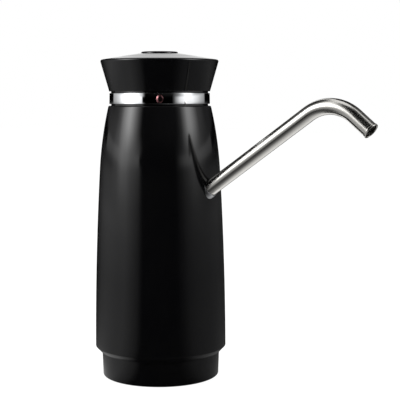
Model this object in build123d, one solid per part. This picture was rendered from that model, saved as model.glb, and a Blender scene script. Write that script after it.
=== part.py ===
from build123d import *
import os
from math import acos, cos, pi, radians, sin, sqrt, tan

# Rechargeable pump that sits on the neck of a large water bottle. A gear pump lifts the water
# through the nozzle under the body and out of the bent spout when the button on top is pressed.
# Origin: centre of the collar's mouth. +Z is up and the spout leans out along +X. Millimetres.

# Fits and cuts
overrun = 1.0
press_gap = 0.02
running_gap = 0.03
screw_gap = 0.05
seat_gap = 0.1
loose_gap = 0.3

# Barrel: two tangent arcs from the foot to the neck, round a foot that overhangs the collar
barrel_overhang_width = 3.7
barrel_foot_bevel_height = 3.8
barrel_break_inset = 3.46
barrel_break_share = 0.739
barrel_bulge_depth = 0.73
barrel_neck_inset = 9.0
barrel_wall = 2.4
barrel_foot_round = 0.4
barrel_top_round = 1.0
underside_height = 14.5
lip_thickness = 2.5
boss_width = 6.0
boss_height = 9.0
boss_cover = 3.0
seat_ring_thickness = 3.0
seat_ring_reach = 8.0

# Collar over the bottle's neck, which sets the radii of all that goes round it
neck_bore_radius = 28.0
neck_depth = 16.0
neck_sleeve_wall = 2.0
collar_core_width = 3.1
collar_skirt_wall = 2.4
collar_draft_width = 0.5
collar_foot_round = 1.0
collar_flange_thickness = 3.0
collar_core_depth = 12.0
collar_rib_thickness = 1.6
collar_rib_count = 12
gasket_seat_width = 2.0
gasket_reach = 6.4

# Bulkhead above the neck
bulkhead_thickness = 3.0
cup_wall = 2.4
cup_depth = 11.0
ceiling_thickness = 3.4
rim_seal_section = 0.85
rim_seal_slack = 0.05

# Intake nozzle
nozzle_radius = 4.0
nozzle_bore_radius = 2.6
nozzle_reach = 13.0
nozzle_tip_bevel = 0.5
nozzle_flange_radius = 7.0
nozzle_flange_thickness = 1.5
nozzle_thread_length = 3.0
intake_seal_width = 2.0
intake_seal_thickness = 1.2

# Pump gears
gear_teeth = 12
gear_pitch_radius = 5.4
gear_pressure_angle = 25.0
gear_tooth_height = 0.85
gear_root_depth = 1.12
gear_backlash_gap = 0.1
gear_width = 8.0
gear_end_gap = 0.05
gear_tip_gap = 0.1
idler_pin_radius = 1.5
idler_pin_seat = 2.0

# Pump block
pump_back_reach = 8.0
pump_front_reach = 6.0
pump_half_width = 16.5
pump_corner_round = 4.0
pump_cover_thickness = 4.0
pump_roof = 3.9
pump_port_radius = 3.0
pump_port_step = 5.8
pump_channel_radius = 2.0
shaft_seal_radius = 3.5
shaft_seal_height = 3.0
shaft_hole_gap = 0.15

# Motor
motor_radius = 11.0
motor_length = 28.0
motor_wall = 0.9
motor_front_wall = 2.0
motor_cap_thickness = 4.0
motor_bush_radius = 3.0
motor_bush_length = 3.0
shaft_radius = 1.0
shaft_start = 0.6
magnet_thickness = 1.4
magnet_angle = 130.0
magnet_length = 18.0
armature_gap = 0.5
armature_length = 17.0
armature_slot_width = 1.6
armature_slot_depth = 4.0
armature_slot_count = 3
commutator_radius = 2.6
commutator_length = 4.0
motor_screw_inset = 2.5

# Outlet hose and its spigots
hose_gap = 1.13
hose_radius = 4.0
spigot_radius = 2.6
spigot_bore_radius = 1.7
spigot_length = 9.0

# Spout
spout_slope = 33.9
spout_bend_start = 124.8
spout_bend_radius = 24.1
spout_bend_angle = 73.1
spout_end_length = 12.4
spout_radius = 4.55
spout_wall = 0.6
spout_lip_height = 0.25
spout_lip_length = 1.2
spout_inner_reach = 2.9
spout_stop_gap = 0.1
ferrule_wall = 0.5
ferrule_gap = 0.12
ferrule_length = 6.0
ferrule_proud = 0.5

# Socket that holds the spout
socket_radius = 7.4
socket_back_reach = 6.3
socket_bore_length = 1.8
gland_length = 5.0
gland_wall = 1.4
gland_end_gap = 0.05
gland_cap_thickness = 2.0
socket_passage_radius = 3.2
socket_passage_reach = 3.0
socket_leg_radius = 4.2
socket_leg_height = 15.31
socket_pad_start = 4.0
socket_pad_thickness = 3.0
socket_pad_half_width = 7.0
socket_web_half_width = 2.3
socket_web_start = 9.6
socket_web_rise = 12.0
socket_screw_inset = 3.4
socket_screw_spread = 4.7

# Chassis
spine_front = -9.6
spine_thickness = 2.4
spine_half_width = 15.0
spine_clearance = 4.0
spine_over_board_height = 6.9
chassis_foot_reach = 6.0
chassis_foot_half_width = 10.0
chassis_foot_thickness = 3.0
chassis_screw_spread = 6.0
arm_clearance = 4.7
arm_thickness = 3.0
arm_half_width = 8.0
shelf_thickness = 2.5
shelf_half_width = 9.0

# Battery
battery_radius = 9.2
battery_length = 65.0
battery_gap = 0.6
battery_floor = 1.0
battery_contact_thickness = 0.8
battery_contact_radius = 6.0
battery_cap_radius = 3.0
battery_cap_height = 0.7

# Boards
board_thickness = 1.6
board_half_width = 13.0
board_height = 34.0
board_floor = 4.0
board_post_radius = 2.0
board_post_height = 2.0
board_post_inset = 3.0
chip_thickness = 1.5
chip_width = 7.0
chip_pitch = 10.0
chip_count = 3
charge_board_level = 12.0
charge_board_half_width = 8.5
charge_socket_width = 8.94
charge_socket_height = 3.2
charge_socket_depth = 7.3
charge_socket_wall = 0.3
charge_tongue_thickness = 0.7
charge_tongue_inset = 0.9
charge_port_gap = 0.35
charge_recess_margin = 1.6
charge_recess_depth = 0.8

# Leads
lead_radius = 0.7
lead_bend_radius = 2.0
lead_hole_gap = 0.2
motor_lead_offset = 4.0
motor_lead_clearance = 1.2
motor_lead_pitch = 2.2
battery_tab_reach = 2.8
battery_tab_width = 4.0

# Band and indicator
groove_height = 1.0
groove_depth = 1.1
band_inset = 0.54
band_height = 6.5
band_edge_round = 0.5
indicator_angle = -52.4
indicator_width = 4.6
indicator_height = 5.1
indicator_rim = 0.75
indicator_proud = 0.15
indicator_reach = 1.0
led_board_width = 8.0
led_board_thickness = 1.2
led_width = 3.0
led_thickness = 1.4

# Head
spigot_wall = 2.3
spigot_depth = 8.0
head_foot_inset = 0.5
head_flare_width = 5.4
head_flare_height = 18.85
head_rim_round = 1.0
head_wall = 2.2
head_floor_height = 3.1
head_boss_radius = 3.0
head_boss_inset = 2.0
head_boss_angles = (10.0, 130.0, 250.0)
panel_margin = 12.3
panel_rise = 2.1
panel_crown = 2.0
panel_thickness = 1.8
panel_ledge = 1.8

# Button and switch
button_radius = 11.1
button_proud = 1.15
button_round = 0.8
button_wall = 1.6
button_crown = 0.3
button_flange = 1.7
button_flange_thickness = 1.5
button_stem_radius = 2.5
button_travel = 1.0
deck_thickness = 2.0
deck_wire_radius = 4.0
switch_post_radius = 2.0
switch_post_height = 2.5
switch_post_circle = 11.0
switch_board_radius = 14.0
switch_width = 6.2
switch_height = 3.4
switch_plunger_radius = 1.75
switch_plunger_sunk = 0.7

# Screws
screw_radius = 1.1
screw_head_radius = 2.1
screw_head_height = 1.5
small_screw_radius = 0.9
small_screw_head_radius = 1.7
small_screw_head_height = 1.2
head_bevel_share = 0.3
slot_depth_share = 0.6
slot_width_share = 0.25
slot_length_share = 0.6
base_screw_angles = (45.0, 135.0, 225.0, 315.0)
base_screw_length = 17.0
chassis_screw_length = 5.4
pump_screw_inset = 3.6
pump_screw_length = 11.0
motor_screw_length = 11.4
socket_screw_length = 5.4
board_screw_length = 4.4
head_screw_length = 9.0
deck_screw_length = 8.0

# Places of pump, motor and hose worked out from the sizes above
gear_x = pump_port_step
motor_x = gear_x
motor_y = gear_pitch_radius
motor_screw_circle = motor_radius - motor_screw_inset
hose_x = motor_x + sqrt((motor_radius + hose_radius + hose_gap) ** 2 - motor_y ** 2)
hose_along = hose_x / cos(radians(spout_slope))
spout_inset = hose_along + spout_inner_reach
socket_start = hose_along - socket_back_reach
socket_passage_start = hose_along - socket_passage_reach

# Levels worked out from the sizes above
ledge_height = underside_height + lip_thickness
flange_top = ledge_height + collar_flange_thickness
ceiling_low = flange_top + cup_depth
deck_level = ceiling_low + ceiling_thickness
cover_top = deck_level + pump_cover_thickness
cavity_top = cover_top + gear_width + 2 * gear_end_gap
pump_top = cavity_top + pump_roof
motor_top = pump_top + motor_length
motor_cap_top = motor_top + motor_cap_thickness
arm_top = motor_cap_top + arm_clearance + arm_thickness
socket_leg_foot = arm_top - seat_gap
spout_axis_height = socket_leg_foot + socket_leg_height - hose_x * tan(radians(spout_slope))
board_low = arm_top + socket_web_rise + board_floor + board_post_inset
spine_top = board_low + board_height + spine_over_board_height
spigot_low = spine_top + spine_clearance + seat_ring_thickness
barrel_foot_height = underside_height + barrel_foot_bevel_height
barrel_top_height = spigot_low + spigot_depth
barrel_break_height = barrel_foot_height + barrel_break_share * (barrel_top_height - barrel_foot_height)
band_low = barrel_top_height + groove_height
band_high = band_low + band_height
head_low = band_high + groove_height
head_corner_height = head_low + head_flare_height
panel_edge_height = head_corner_height + panel_rise
panel_hole_height = panel_edge_height + panel_crown
button_top = panel_hole_height + button_proud
head_floor = head_low + head_floor_height
switch_board_low = head_floor + deck_thickness + switch_post_height
switch_low = switch_board_low + board_thickness
switch_top = switch_low + switch_height

# Radii and places worked out from the sizes above
core_inner_radius = neck_bore_radius + neck_sleeve_wall
core_outer_radius = core_inner_radius + collar_core_width
collar_foot_radius = core_outer_radius + collar_skirt_wall
collar_top_radius = collar_foot_radius + collar_draft_width
lip_bore_radius = collar_top_radius + loose_gap
barrel_foot_radius = lip_bore_radius + barrel_overhang_width
barrel_break_radius = barrel_foot_radius - barrel_break_inset
barrel_top_radius = barrel_foot_radius - barrel_neck_inset
barrel_bore_radius = barrel_top_radius - barrel_wall
spigot_outer_radius = barrel_bore_radius - loose_gap
spigot_inner_radius = spigot_outer_radius - spigot_wall
band_radius = barrel_top_radius - band_inset
groove_radius = band_radius - groove_depth
head_foot_radius = barrel_top_radius - head_foot_inset
head_corner_radius = head_foot_radius + head_flare_width
head_boss_circle = spigot_inner_radius - head_boss_inset
panel_radius = head_corner_radius - panel_margin
rim_radius = barrel_foot_radius - barrel_wall - loose_gap
gasket_outer_radius = neck_bore_radius + gasket_seat_width
gasket_inner_radius = neck_bore_radius - gasket_reach
cup_inner_radius = gasket_inner_radius - cup_wall - 2 * seat_gap
base_screw_circle = (core_inner_radius + core_outer_radius) / 2
gear_tip_radius = gear_pitch_radius + gear_tooth_height
gear_root_radius = gear_pitch_radius - gear_root_depth
cavity_radius = gear_tip_radius + gear_tip_gap
outlet_port_x = 2 * pump_port_step
pump_x_low = -pump_back_reach
pump_x_high = hose_x + pump_front_reach
channel_level = (cover_top + cavity_top) / 2
ferrule_radius = spout_radius + ferrule_gap + ferrule_wall
gland_radius = spout_radius + gland_wall
gland_start = spout_inset + socket_bore_length
gland_stop = gland_start + gland_length
socket_stop = gland_stop
arm_front = hose_x - socket_leg_radius - screw_gap - seat_gap
spine_back = spine_front - spine_thickness
battery_x = spine_back - battery_gap - battery_radius
battery_shelf_low = deck_level + chassis_foot_thickness + screw_head_height + battery_floor
battery_low = battery_shelf_low + shelf_thickness + battery_contact_thickness
battery_top = battery_low + battery_length
battery_shelf_high = battery_top + battery_cap_height + battery_contact_thickness
shelf_back = battery_x - battery_radius
charge_level = battery_shelf_high + charge_board_level + shelf_thickness
charge_socket_low = charge_level + board_thickness
charge_port_height = charge_socket_low + charge_socket_height / 2
board_face = spine_front + board_post_height + board_thickness
indicator_level = (band_low + band_high) / 2

upright = (Align.CENTER, Align.CENTER, Align.MIN)


# Shared shapes

def disc(radius, low, high, x=0, y=0):
    """Upright cylinder between two heights."""
    return Pos(x, y, low) * Cylinder(radius, high - low, align=upright)


def ring(outer, inner, low, high, x=0, y=0):
    """Upright tube between two heights."""
    return disc(outer, low, high, x, y) - disc(inner, low - overrun, high + overrun, x, y)


def block(x_low, x_high, half_width, low, high, y=0):
    """Box lying evenly about a line along X."""
    middle = Pos((x_low + x_high) / 2, y, low)
    return middle * Box(x_high - x_low, 2 * half_width, high - low, align=upright)


def turned(*outline):
    """Solid of revolution about Z from (radius, height) points."""
    return turned_face(make_face(Polyline(*outline, close=True)))


def turned_face(face):
    """Solid of revolution about Z from a face drawn in radius and height."""
    return revolve(Plane.XZ * face, Axis.Z)


def ring_edge(solid, radius, height):
    """The circular edge of a turned solid that lies nearest to this radius and height."""
    circles = solid.edges().filter_by(GeomType.CIRCLE)
    return circles.sort_by(lambda e: abs(e.radius - radius) + abs(e.arc_center.Z - height))[0]


def face_corner(face, radius, height):
    """The corner of a half section that lies nearest to this radius and height."""
    return face.vertices().sort_by(lambda v: abs(v.X - radius) + abs(v.Y - height))[0]


def around(circle, angles):
    """Points on a circle about the axis, one for each angle in degrees."""
    return [(circle * cos(radians(a)), circle * sin(radians(a))) for a in angles]


def group(solids):
    """Separate solids kept in one node."""
    return Compound([s.solid() for s in solids])


def screw(x, y, seat, length, radius, head_radius, head_height, way=1):
    """Pan-head screw whose head stands on the seat; way is 1 for a head on top, -1 below."""
    shank = Pos(0, 0, -length) * Cylinder(radius, length, align=upright)
    whole = shank + Cylinder(head_radius, head_height, align=upright)
    whole = chamfer(ring_edge(whole, head_radius, head_height), head_height * head_bevel_share)
    slot_floor = head_height * (1 - slot_depth_share)
    slot_half = head_radius * slot_width_share / 2
    slot_reach = head_radius * slot_length_share
    slot = block(-slot_reach, slot_reach, slot_half, slot_floor, head_height + overrun)
    whole = whole - slot - Rot(0, 0, 90) * slot
    if way < 0:
        whole = Rot(180, 0, 0) * whole
    return Pos(x, y, seat) * whole


def large_screw(x, y, seat, length, way=1):
    return screw(x, y, seat, length, screw_radius, screw_head_radius, screw_head_height, way)


def small_screw(x, y, seat, length, way=1):
    return screw(x, y, seat, length, small_screw_radius, small_screw_head_radius,
                 small_screw_head_height, way)


def screw_holes(places, radius, low, high):
    """Straight holes for a set of screws."""
    return [disc(radius + screw_gap, low, high, x, y) for x, y in places]


# Spout line

slope_out = cos(radians(spout_slope))
slope_up = sin(radians(spout_slope))
spout_frame = Plane(origin=(0, 0, spout_axis_height), x_dir=(0, 1, 0), z_dir=(slope_out, 0, slope_up))


def spout_rod(radius, start, stop):
    """Cylinder along the spout's straight line, measured from the body's axis."""
    return spout_frame * (Pos(0, 0, start) * Cylinder(radius, stop - start, align=upright))


def spout_ring(outer, inner, start, stop):
    """Tube along the spout's straight line."""
    return spout_rod(outer, start, stop) - spout_rod(inner, start - overrun, stop + overrun)


def spout_height(x):
    """Height of the spout's line over a point along X."""
    return spout_axis_height + x * slope_up / slope_out


# Barrel surface

def barrel_arcs(inset):
    """The barrel's two tangent arcs, drawn in radius and height and set in by a wall."""
    foot = (barrel_foot_radius - inset, barrel_foot_height)
    turn = (barrel_break_radius - inset, barrel_break_height)
    middle = ((foot[0] + turn[0]) / 2 + barrel_bulge_depth, (foot[1] + turn[1]) / 2)
    lower = ThreePointArc(foot, middle, turn)
    upper = TangentArc(turn, (barrel_top_radius - inset, barrel_top_height), tangent=lower % 1)
    return lower, upper


def barrel_radius(height):
    """Outer radius of the barrel at a height."""
    lower, upper = barrel_arcs(0)
    arc = lower if height < barrel_break_height else upper
    centre = arc.arc_center
    return centre.X + sqrt(arc.radius ** 2 - (height - centre.Y) ** 2)


def barrel_face(inset, low, low_radius):
    """Half section of the barrel inside a wall, from a flat foot of the given radius and height."""
    lower, upper = barrel_arcs(inset)
    outline = [
        Line((0, low), (low_radius, low)),
        Line((low_radius, low), lower @ 0),
        lower,
        upper,
        Line(upper @ 1, (0, barrel_top_height)),
        Line((0, barrel_top_height), (0, low)),
    ]
    return make_face(outline)


def slot_prism(width, height, depth):
    """Round-ended slot, width across, height along Z, running inwards along X from zero."""
    return Plane.YZ * extrude(SlotOverall(width, height), depth)


def body_shell():
    section = barrel_face(0, underside_height, lip_bore_radius)
    section = fillet(face_corner(section, barrel_top_radius, barrel_top_height), barrel_top_round)
    section = fillet(face_corner(section, barrel_foot_radius, barrel_foot_height), barrel_foot_round)
    outer = turned_face(section)
    cavity = turned_face(barrel_face(barrel_wall, ledge_height, barrel_foot_radius - barrel_wall))
    collar_hole = disc(lip_bore_radius, underside_height - overrun, ledge_height + overrun)
    neck = ring(groove_radius, barrel_bore_radius, barrel_top_height - barrel_top_round, band_low)
    shell = outer - cavity - collar_hole + neck
    seat_low = spigot_low - seat_ring_thickness
    seat = ring(barrel_radius(seat_low) - barrel_wall / 2, barrel_bore_radius - seat_ring_reach,
                seat_low, spigot_low)
    shell = shell + seat
    bulkhead_top = flange_top + bulkhead_thickness
    boss_top = bulkhead_top + boss_height
    boss_start = base_screw_circle - boss_cover
    for angle in base_screw_angles:
        post = block(boss_start, barrel_foot_radius, boss_width / 2, bulkhead_top, boss_top)
        shell = shell + ((Rot(0, 0, angle) * post) & outer)
    shell = shell - screw_holes(around(base_screw_circle, base_screw_angles), screw_radius,
                                ledge_height, boss_top + overrun)
    shell = shell - screw_holes(around(head_boss_circle, head_boss_angles), screw_radius,
                                seat_low - overrun, spigot_low + overrun)
    shell = shell - spout_rod(ferrule_radius + press_gap, spout_inset, spout_bend_start)
    return shell - charge_port_cut()


def charge_port_cut():
    """Charging slot through the back of the barrel, with a shallow recess round it."""
    back = barrel_radius(charge_port_height)
    width = charge_socket_width + 2 * charge_port_gap
    height = charge_socket_height + 2 * charge_port_gap
    margin = 2 * charge_recess_margin
    hole = slot_prism(width, height, barrel_wall + 2 * overrun)
    recess = slot_prism(width + margin, height + margin, charge_recess_depth + overrun)
    return Pos(-back - overrun, 0, charge_port_height) * (hole + recess)


# Collar, gasket and bulkhead

def base_collar():
    collar = turned(
        (neck_bore_radius, 0),
        (collar_foot_radius, 0),
        (collar_top_radius, underside_height),
        (collar_top_radius, ledge_height),
        (rim_radius, ledge_height),
        (rim_radius, flange_top),
        (gasket_outer_radius, flange_top),
        (gasket_outer_radius, neck_depth),
        (neck_bore_radius, neck_depth),
    )
    collar = fillet(ring_edge(collar, collar_foot_radius, 0), collar_foot_round)
    core = ring(core_outer_radius, core_inner_radius, -overrun, collar_core_depth)
    for index in range(collar_rib_count):
        rib = block(neck_bore_radius, collar_top_radius, collar_rib_thickness / 2, 0, collar_core_depth)
        core = core - Rot(0, 0, index * 360 / collar_rib_count) * rib
    collar = collar - core
    places = around(base_screw_circle, base_screw_angles)
    head_room = [disc(screw_head_radius + seat_gap, -overrun, collar_core_depth, x, y) for x, y in places]
    return collar - head_room - screw_holes(places, screw_radius, 0, flange_top + overrun)


def neck_gasket():
    return ring(gasket_outer_radius - seat_gap, gasket_inner_radius, neck_depth, flange_top)


def rim_seal():
    """Round ring in the bulkhead's rim, just clear of the barrel's wall."""
    level = flange_top + bulkhead_thickness / 2
    wall = barrel_radius(level) - barrel_wall
    return Pos(0, 0, level) * Torus(wall - rim_seal_slack - rim_seal_section, rim_seal_section)


def bulkhead():
    cup_radius = cup_inner_radius + cup_wall
    bulkhead_top = flange_top + bulkhead_thickness
    plate = turned(
        (cup_inner_radius, flange_top),
        (rim_radius, flange_top),
        (rim_radius, bulkhead_top),
        (cup_radius, bulkhead_top),
        (cup_radius, deck_level),
        (0, deck_level),
        (0, ceiling_low),
        (cup_inner_radius, ceiling_low),
    )
    level = flange_top + bulkhead_thickness / 2
    groove_floor = barrel_radius(level) - barrel_wall - 2 * (rim_seal_slack + rim_seal_section)
    half_groove = rim_seal_section + rim_seal_slack
    plate = plate - ring(rim_radius + overrun, groove_floor, level - half_groove, level + half_groove)
    plate = plate - disc(nozzle_radius + seat_gap, ceiling_low - overrun, deck_level + overrun)
    plate = plate - screw_holes(around(base_screw_circle, base_screw_angles), screw_radius,
                                flange_top - overrun, bulkhead_top + overrun)
    screw_low = deck_level + chassis_foot_thickness - chassis_screw_length
    return plate - screw_holes(chassis_screw_places(), screw_radius, screw_low, deck_level + overrun)


def base_screws():
    places = around(base_screw_circle, base_screw_angles)
    return group([large_screw(x, y, collar_core_depth, base_screw_length, -1) for x, y in places])


# Intake

def intake_nozzle():
    tip = ceiling_low - nozzle_reach
    flange_low = ceiling_low - nozzle_flange_thickness
    tube = disc(nozzle_radius, tip, deck_level + nozzle_thread_length)
    tube = chamfer(ring_edge(tube, nozzle_radius, tip), nozzle_tip_bevel)
    tube = tube + disc(nozzle_flange_radius, flange_low, ceiling_low)
    return tube - disc(nozzle_bore_radius, tip - overrun, cover_top)


def intake_seal():
    outer = nozzle_radius + seat_gap + intake_seal_width
    return ring(outer, nozzle_radius + seat_gap, deck_level, deck_level + intake_seal_thickness - seat_gap)


# Gear pump

def pump_outline():
    length = pump_x_high - pump_x_low
    middle = (pump_x_low + pump_x_high) / 2
    return Pos(middle, 0) * RectangleRounded(length, 2 * pump_half_width, pump_corner_round)


def pump_screw_places():
    y = pump_half_width - pump_screw_inset
    xs = (pump_x_low + pump_screw_inset, pump_x_high - pump_screw_inset)
    return [(x, side * y) for x in xs for side in (-1, 1)]


def motor_screw_places():
    return [(motor_x - motor_screw_circle, motor_y), (motor_x + motor_screw_circle, motor_y)]


def pump_cover():
    plate = Pos(0, 0, deck_level) * extrude(pump_outline(), pump_cover_thickness)
    plate = plate - disc(nozzle_radius + press_gap, deck_level - overrun, deck_level + nozzle_thread_length)
    plate = plate - disc(pump_channel_radius, deck_level, cover_top + overrun)
    seal_radius = nozzle_radius + 2 * seat_gap + intake_seal_width
    plate = plate - disc(seal_radius, deck_level - overrun, deck_level + intake_seal_thickness)
    plate = plate - disc(idler_pin_radius + press_gap, cover_top - idler_pin_seat, cover_top + overrun,
                         gear_x, -gear_pitch_radius)
    heads = [disc(screw_head_radius + seat_gap, deck_level - overrun, deck_level + screw_head_height, x, y)
             for x, y in pump_screw_places()]
    return plate - heads - screw_holes(pump_screw_places(), screw_radius, deck_level, cover_top + overrun)


def pump_housing():
    housing = Pos(0, 0, cover_top) * extrude(pump_outline(), pump_top - cover_top)
    housing = housing + disc(spigot_radius, pump_top, pump_top + spigot_length, hose_x)
    for side in (-1, 1):
        housing = housing - disc(cavity_radius, cover_top - overrun, cavity_top, gear_x,
                                 side * gear_pitch_radius)
    for x in (0, outlet_port_x):
        housing = housing - disc(pump_port_radius, cover_top - overrun, cavity_top, x)
    channel = Cylinder(pump_channel_radius, hose_x - outlet_port_x, align=upright)
    housing = housing - Pos(outlet_port_x, 0, channel_level) * (Rot(0, 90, 0) * channel)
    housing = housing - disc(spigot_bore_radius, channel_level, pump_top + spigot_length + overrun, hose_x)
    housing = housing - disc(shaft_radius + shaft_hole_gap, cover_top, pump_top + overrun, motor_x, motor_y)
    housing = housing - disc(shaft_seal_radius + press_gap, pump_top - shaft_seal_height, pump_top + overrun,
                             motor_x, motor_y)
    housing = housing - disc(idler_pin_radius + press_gap, cover_top, cavity_top + idler_pin_seat,
                             gear_x, -gear_pitch_radius)
    housing = housing - screw_holes(pump_screw_places(), screw_radius, cover_top - overrun,
                                    deck_level + screw_head_height + pump_screw_length)
    for x, y in motor_screw_places():
        housing = housing - disc(small_screw_head_radius + seat_gap, cover_top - overrun,
                                 cover_top + small_screw_head_height, x, y)
    return housing - screw_holes(motor_screw_places(), small_screw_radius, cover_top, pump_top + overrun)


def gear_outline():
    """Involute tooth outline about the origin, with a tooth on +X and the backlash taken off."""
    base = gear_pitch_radius * cos(radians(gear_pressure_angle))

    def half_tooth(radius):
        """Half a tooth's angle at a radius on the involute."""
        pitch_lead = tan(acos(base / gear_pitch_radius)) - acos(base / gear_pitch_radius)
        lead = tan(acos(base / radius)) - acos(base / radius)
        return pi / (2 * gear_teeth) - gear_backlash_gap / (4 * gear_pitch_radius) + pitch_lead - lead

    def polar(radius, angle):
        return radius * cos(angle), radius * sin(angle)

    middle = (base + gear_tip_radius) / 2
    tip = half_tooth(gear_tip_radius)
    root = half_tooth(base)
    edges = []
    for tooth in range(gear_teeth):
        at = 2 * pi * tooth / gear_teeth
        following = at + 2 * pi / gear_teeth
        edges += [
            Line(polar(gear_root_radius, at - root), polar(base, at - root)),
            ThreePointArc(polar(base, at - root), polar(middle, at - half_tooth(middle)),
                          polar(gear_tip_radius, at - tip)),
            ThreePointArc(polar(gear_tip_radius, at - tip), polar(gear_tip_radius, at),
                          polar(gear_tip_radius, at + tip)),
            ThreePointArc(polar(gear_tip_radius, at + tip), polar(middle, at + half_tooth(middle)),
                          polar(base, at + root)),
            Line(polar(base, at + root), polar(gear_root_radius, at + root)),
            ThreePointArc(polar(gear_root_radius, at + root), polar(gear_root_radius, (at + following) / 2),
                          polar(gear_root_radius, following - root)),
        ]
    return make_face(edges)


def gear(bore, turn):
    """Pump gear, standing on its end gap, bored for its shaft and turned by an angle in degrees."""
    face = Rot(0, 0, turn) * gear_outline()
    return Pos(0, 0, cover_top + gear_end_gap) * extrude(face - Circle(bore), gear_width)


def drive_gear():
    """Driven gear, with a tooth pointing at its mate."""
    return Pos(motor_x, motor_y, 0) * gear(shaft_radius + press_gap, -90)


def idler_gear():
    """Loose gear, with a gap between teeth pointing at the driven gear."""
    return Pos(gear_x, -gear_pitch_radius, 0) * gear(idler_pin_radius + running_gap, 90 + 180 / gear_teeth)


def idler_pin():
    return disc(idler_pin_radius, cover_top - idler_pin_seat, cavity_top + idler_pin_seat, gear_x,
                -gear_pitch_radius)


def shaft_seal():
    return ring(shaft_seal_radius, shaft_radius + running_gap, pump_top - shaft_seal_height, pump_top,
                motor_x, motor_y)


def pump_screws():
    seat = deck_level + screw_head_height
    return group([large_screw(x, y, seat, pump_screw_length, -1) for x, y in pump_screw_places()])


# Motor

def motor_can():
    can = disc(motor_radius, pump_top, motor_top, motor_x, motor_y)
    can = chamfer(ring_edge(can, motor_radius, pump_top), motor_wall / 2)
    can = can - disc(motor_radius - motor_wall, pump_top + motor_front_wall, motor_top + overrun,
                     motor_x, motor_y)
    can = can - disc(shaft_radius + shaft_hole_gap, pump_top - overrun, motor_top, motor_x, motor_y)
    return can - screw_holes(motor_screw_places(), small_screw_radius, pump_top - overrun, motor_top)


def motor_end_cap():
    cap = disc(motor_radius, motor_top, motor_cap_top, motor_x, motor_y)
    cap = chamfer(ring_edge(cap, motor_radius, motor_cap_top), motor_wall / 2)
    bush_top = motor_top + motor_bush_length
    return cap - disc(motor_bush_radius + press_gap, motor_top - overrun, bush_top, motor_x, motor_y)


def motor_bushes():
    front = pump_top + motor_front_wall
    bore = shaft_radius + running_gap
    return group([
        ring(motor_bush_radius, bore, low, low + motor_bush_length, motor_x, motor_y)
        for low in (front, motor_top)
    ])


def motor_magnets():
    outer = motor_radius - motor_wall - press_gap
    low = pump_top + motor_front_wall + motor_bush_length
    tube = ring(outer, outer - magnet_thickness, low, low + magnet_length)
    half = tube & (Pos(0, 0, low) * wedge(2 * outer, magnet_length, magnet_angle))
    return group([Pos(motor_x, motor_y, 0) * (Rot(0, 0, turn) * half) for turn in (0, 180)])


def wedge(radius, height, arc):
    """Pie-shaped slice of a cylinder, even about +X."""
    slice_align = (Align.NONE, Align.NONE, Align.MIN)
    return Rot(0, 0, -arc / 2) * Cylinder(radius, height, arc_size=arc, align=slice_align)


def motor_armature():
    """Slotted core with its commutator, pressed on the shaft."""
    radius = motor_radius - motor_wall - magnet_thickness - armature_gap
    low = pump_top + motor_front_wall + motor_bush_length + armature_gap
    core = disc(radius, low, low + armature_length)
    for index in range(armature_slot_count):
        slot = block(radius - armature_slot_depth, radius + overrun, armature_slot_width / 2, low - overrun,
                     low + armature_length + overrun)
        core = core - Rot(0, 0, index * 360 / armature_slot_count) * slot
    core_top = low + armature_length
    core = core + disc(commutator_radius, core_top, core_top + commutator_length)
    core = core - disc(shaft_radius + press_gap, low - overrun, motor_top)
    return Pos(motor_x, motor_y, 0) * core


def motor_shaft():
    top = motor_top + motor_bush_length - seat_gap
    return disc(shaft_radius, cover_top + shaft_start, top, motor_x, motor_y)


def motor_screws():
    seat = cover_top + small_screw_head_height
    return group([small_screw(x, y, seat, motor_screw_length, -1) for x, y in motor_screw_places()])


# Outlet hose, spout socket and spout

def outlet_hose():
    low = pump_top + seat_gap
    return ring(hose_radius, spigot_radius + press_gap, low, socket_leg_foot - seat_gap, hose_x)


def socket_screw_places():
    x = socket_pad_start + socket_screw_inset
    return [(x, -socket_screw_spread), (x, socket_screw_spread)]


def spout_socket():
    """Inclined barrel for the spout, on a foot, with a leg down to the hose."""
    axis_level = spout_height(hose_x)
    socket = spout_rod(socket_radius, socket_start, socket_stop)
    socket = socket + disc(socket_leg_radius, socket_leg_foot, axis_level, hose_x)
    socket = socket + disc(spigot_radius, socket_leg_foot - spigot_length, socket_leg_foot, hose_x)
    web_top = arm_top + socket_web_rise
    pad_top = arm_top + socket_pad_thickness
    socket = socket + block(socket_web_start, hose_x, socket_web_half_width, arm_top, web_top)
    socket = socket + block(socket_pad_start, arm_front, socket_pad_half_width, arm_top, pad_top)
    socket = socket - spout_rod(socket_passage_radius, socket_passage_start, gland_start)
    socket = socket - spout_rod(spout_radius + running_gap, spout_inset - spout_stop_gap, socket_stop)
    socket = socket - spout_rod(gland_radius + running_gap, gland_start, socket_stop + overrun)
    socket = socket - disc(spigot_bore_radius, socket_leg_foot - spigot_length - overrun, axis_level, hose_x)
    return socket - screw_holes(socket_screw_places(), small_screw_radius, arm_top - overrun,
                                pad_top + overrun)


def spout_gland():
    """Soft sleeve that grips the spout and turns with it."""
    return spout_ring(gland_radius, spout_radius + running_gap, gland_start + gland_end_gap,
                      gland_stop - gland_end_gap)


def gland_cap():
    stop = socket_stop + gland_cap_thickness
    return spout_ring(socket_radius, spout_radius + loose_gap, socket_stop, stop)


def spout_exit():
    """Distance along the spout's line at which it leaves the barrel."""
    along = spout_inset
    for _ in range(5):
        along = barrel_radius(spout_axis_height + along * slope_up) / slope_out
    return along


def spout_ferrule():
    """Ring pressed into the barrel's wall, which guides the spout where it comes out."""
    stop = spout_exit() + ferrule_proud
    return spout_ring(ferrule_radius, spout_radius + ferrule_gap, stop - ferrule_length, stop)


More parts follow.
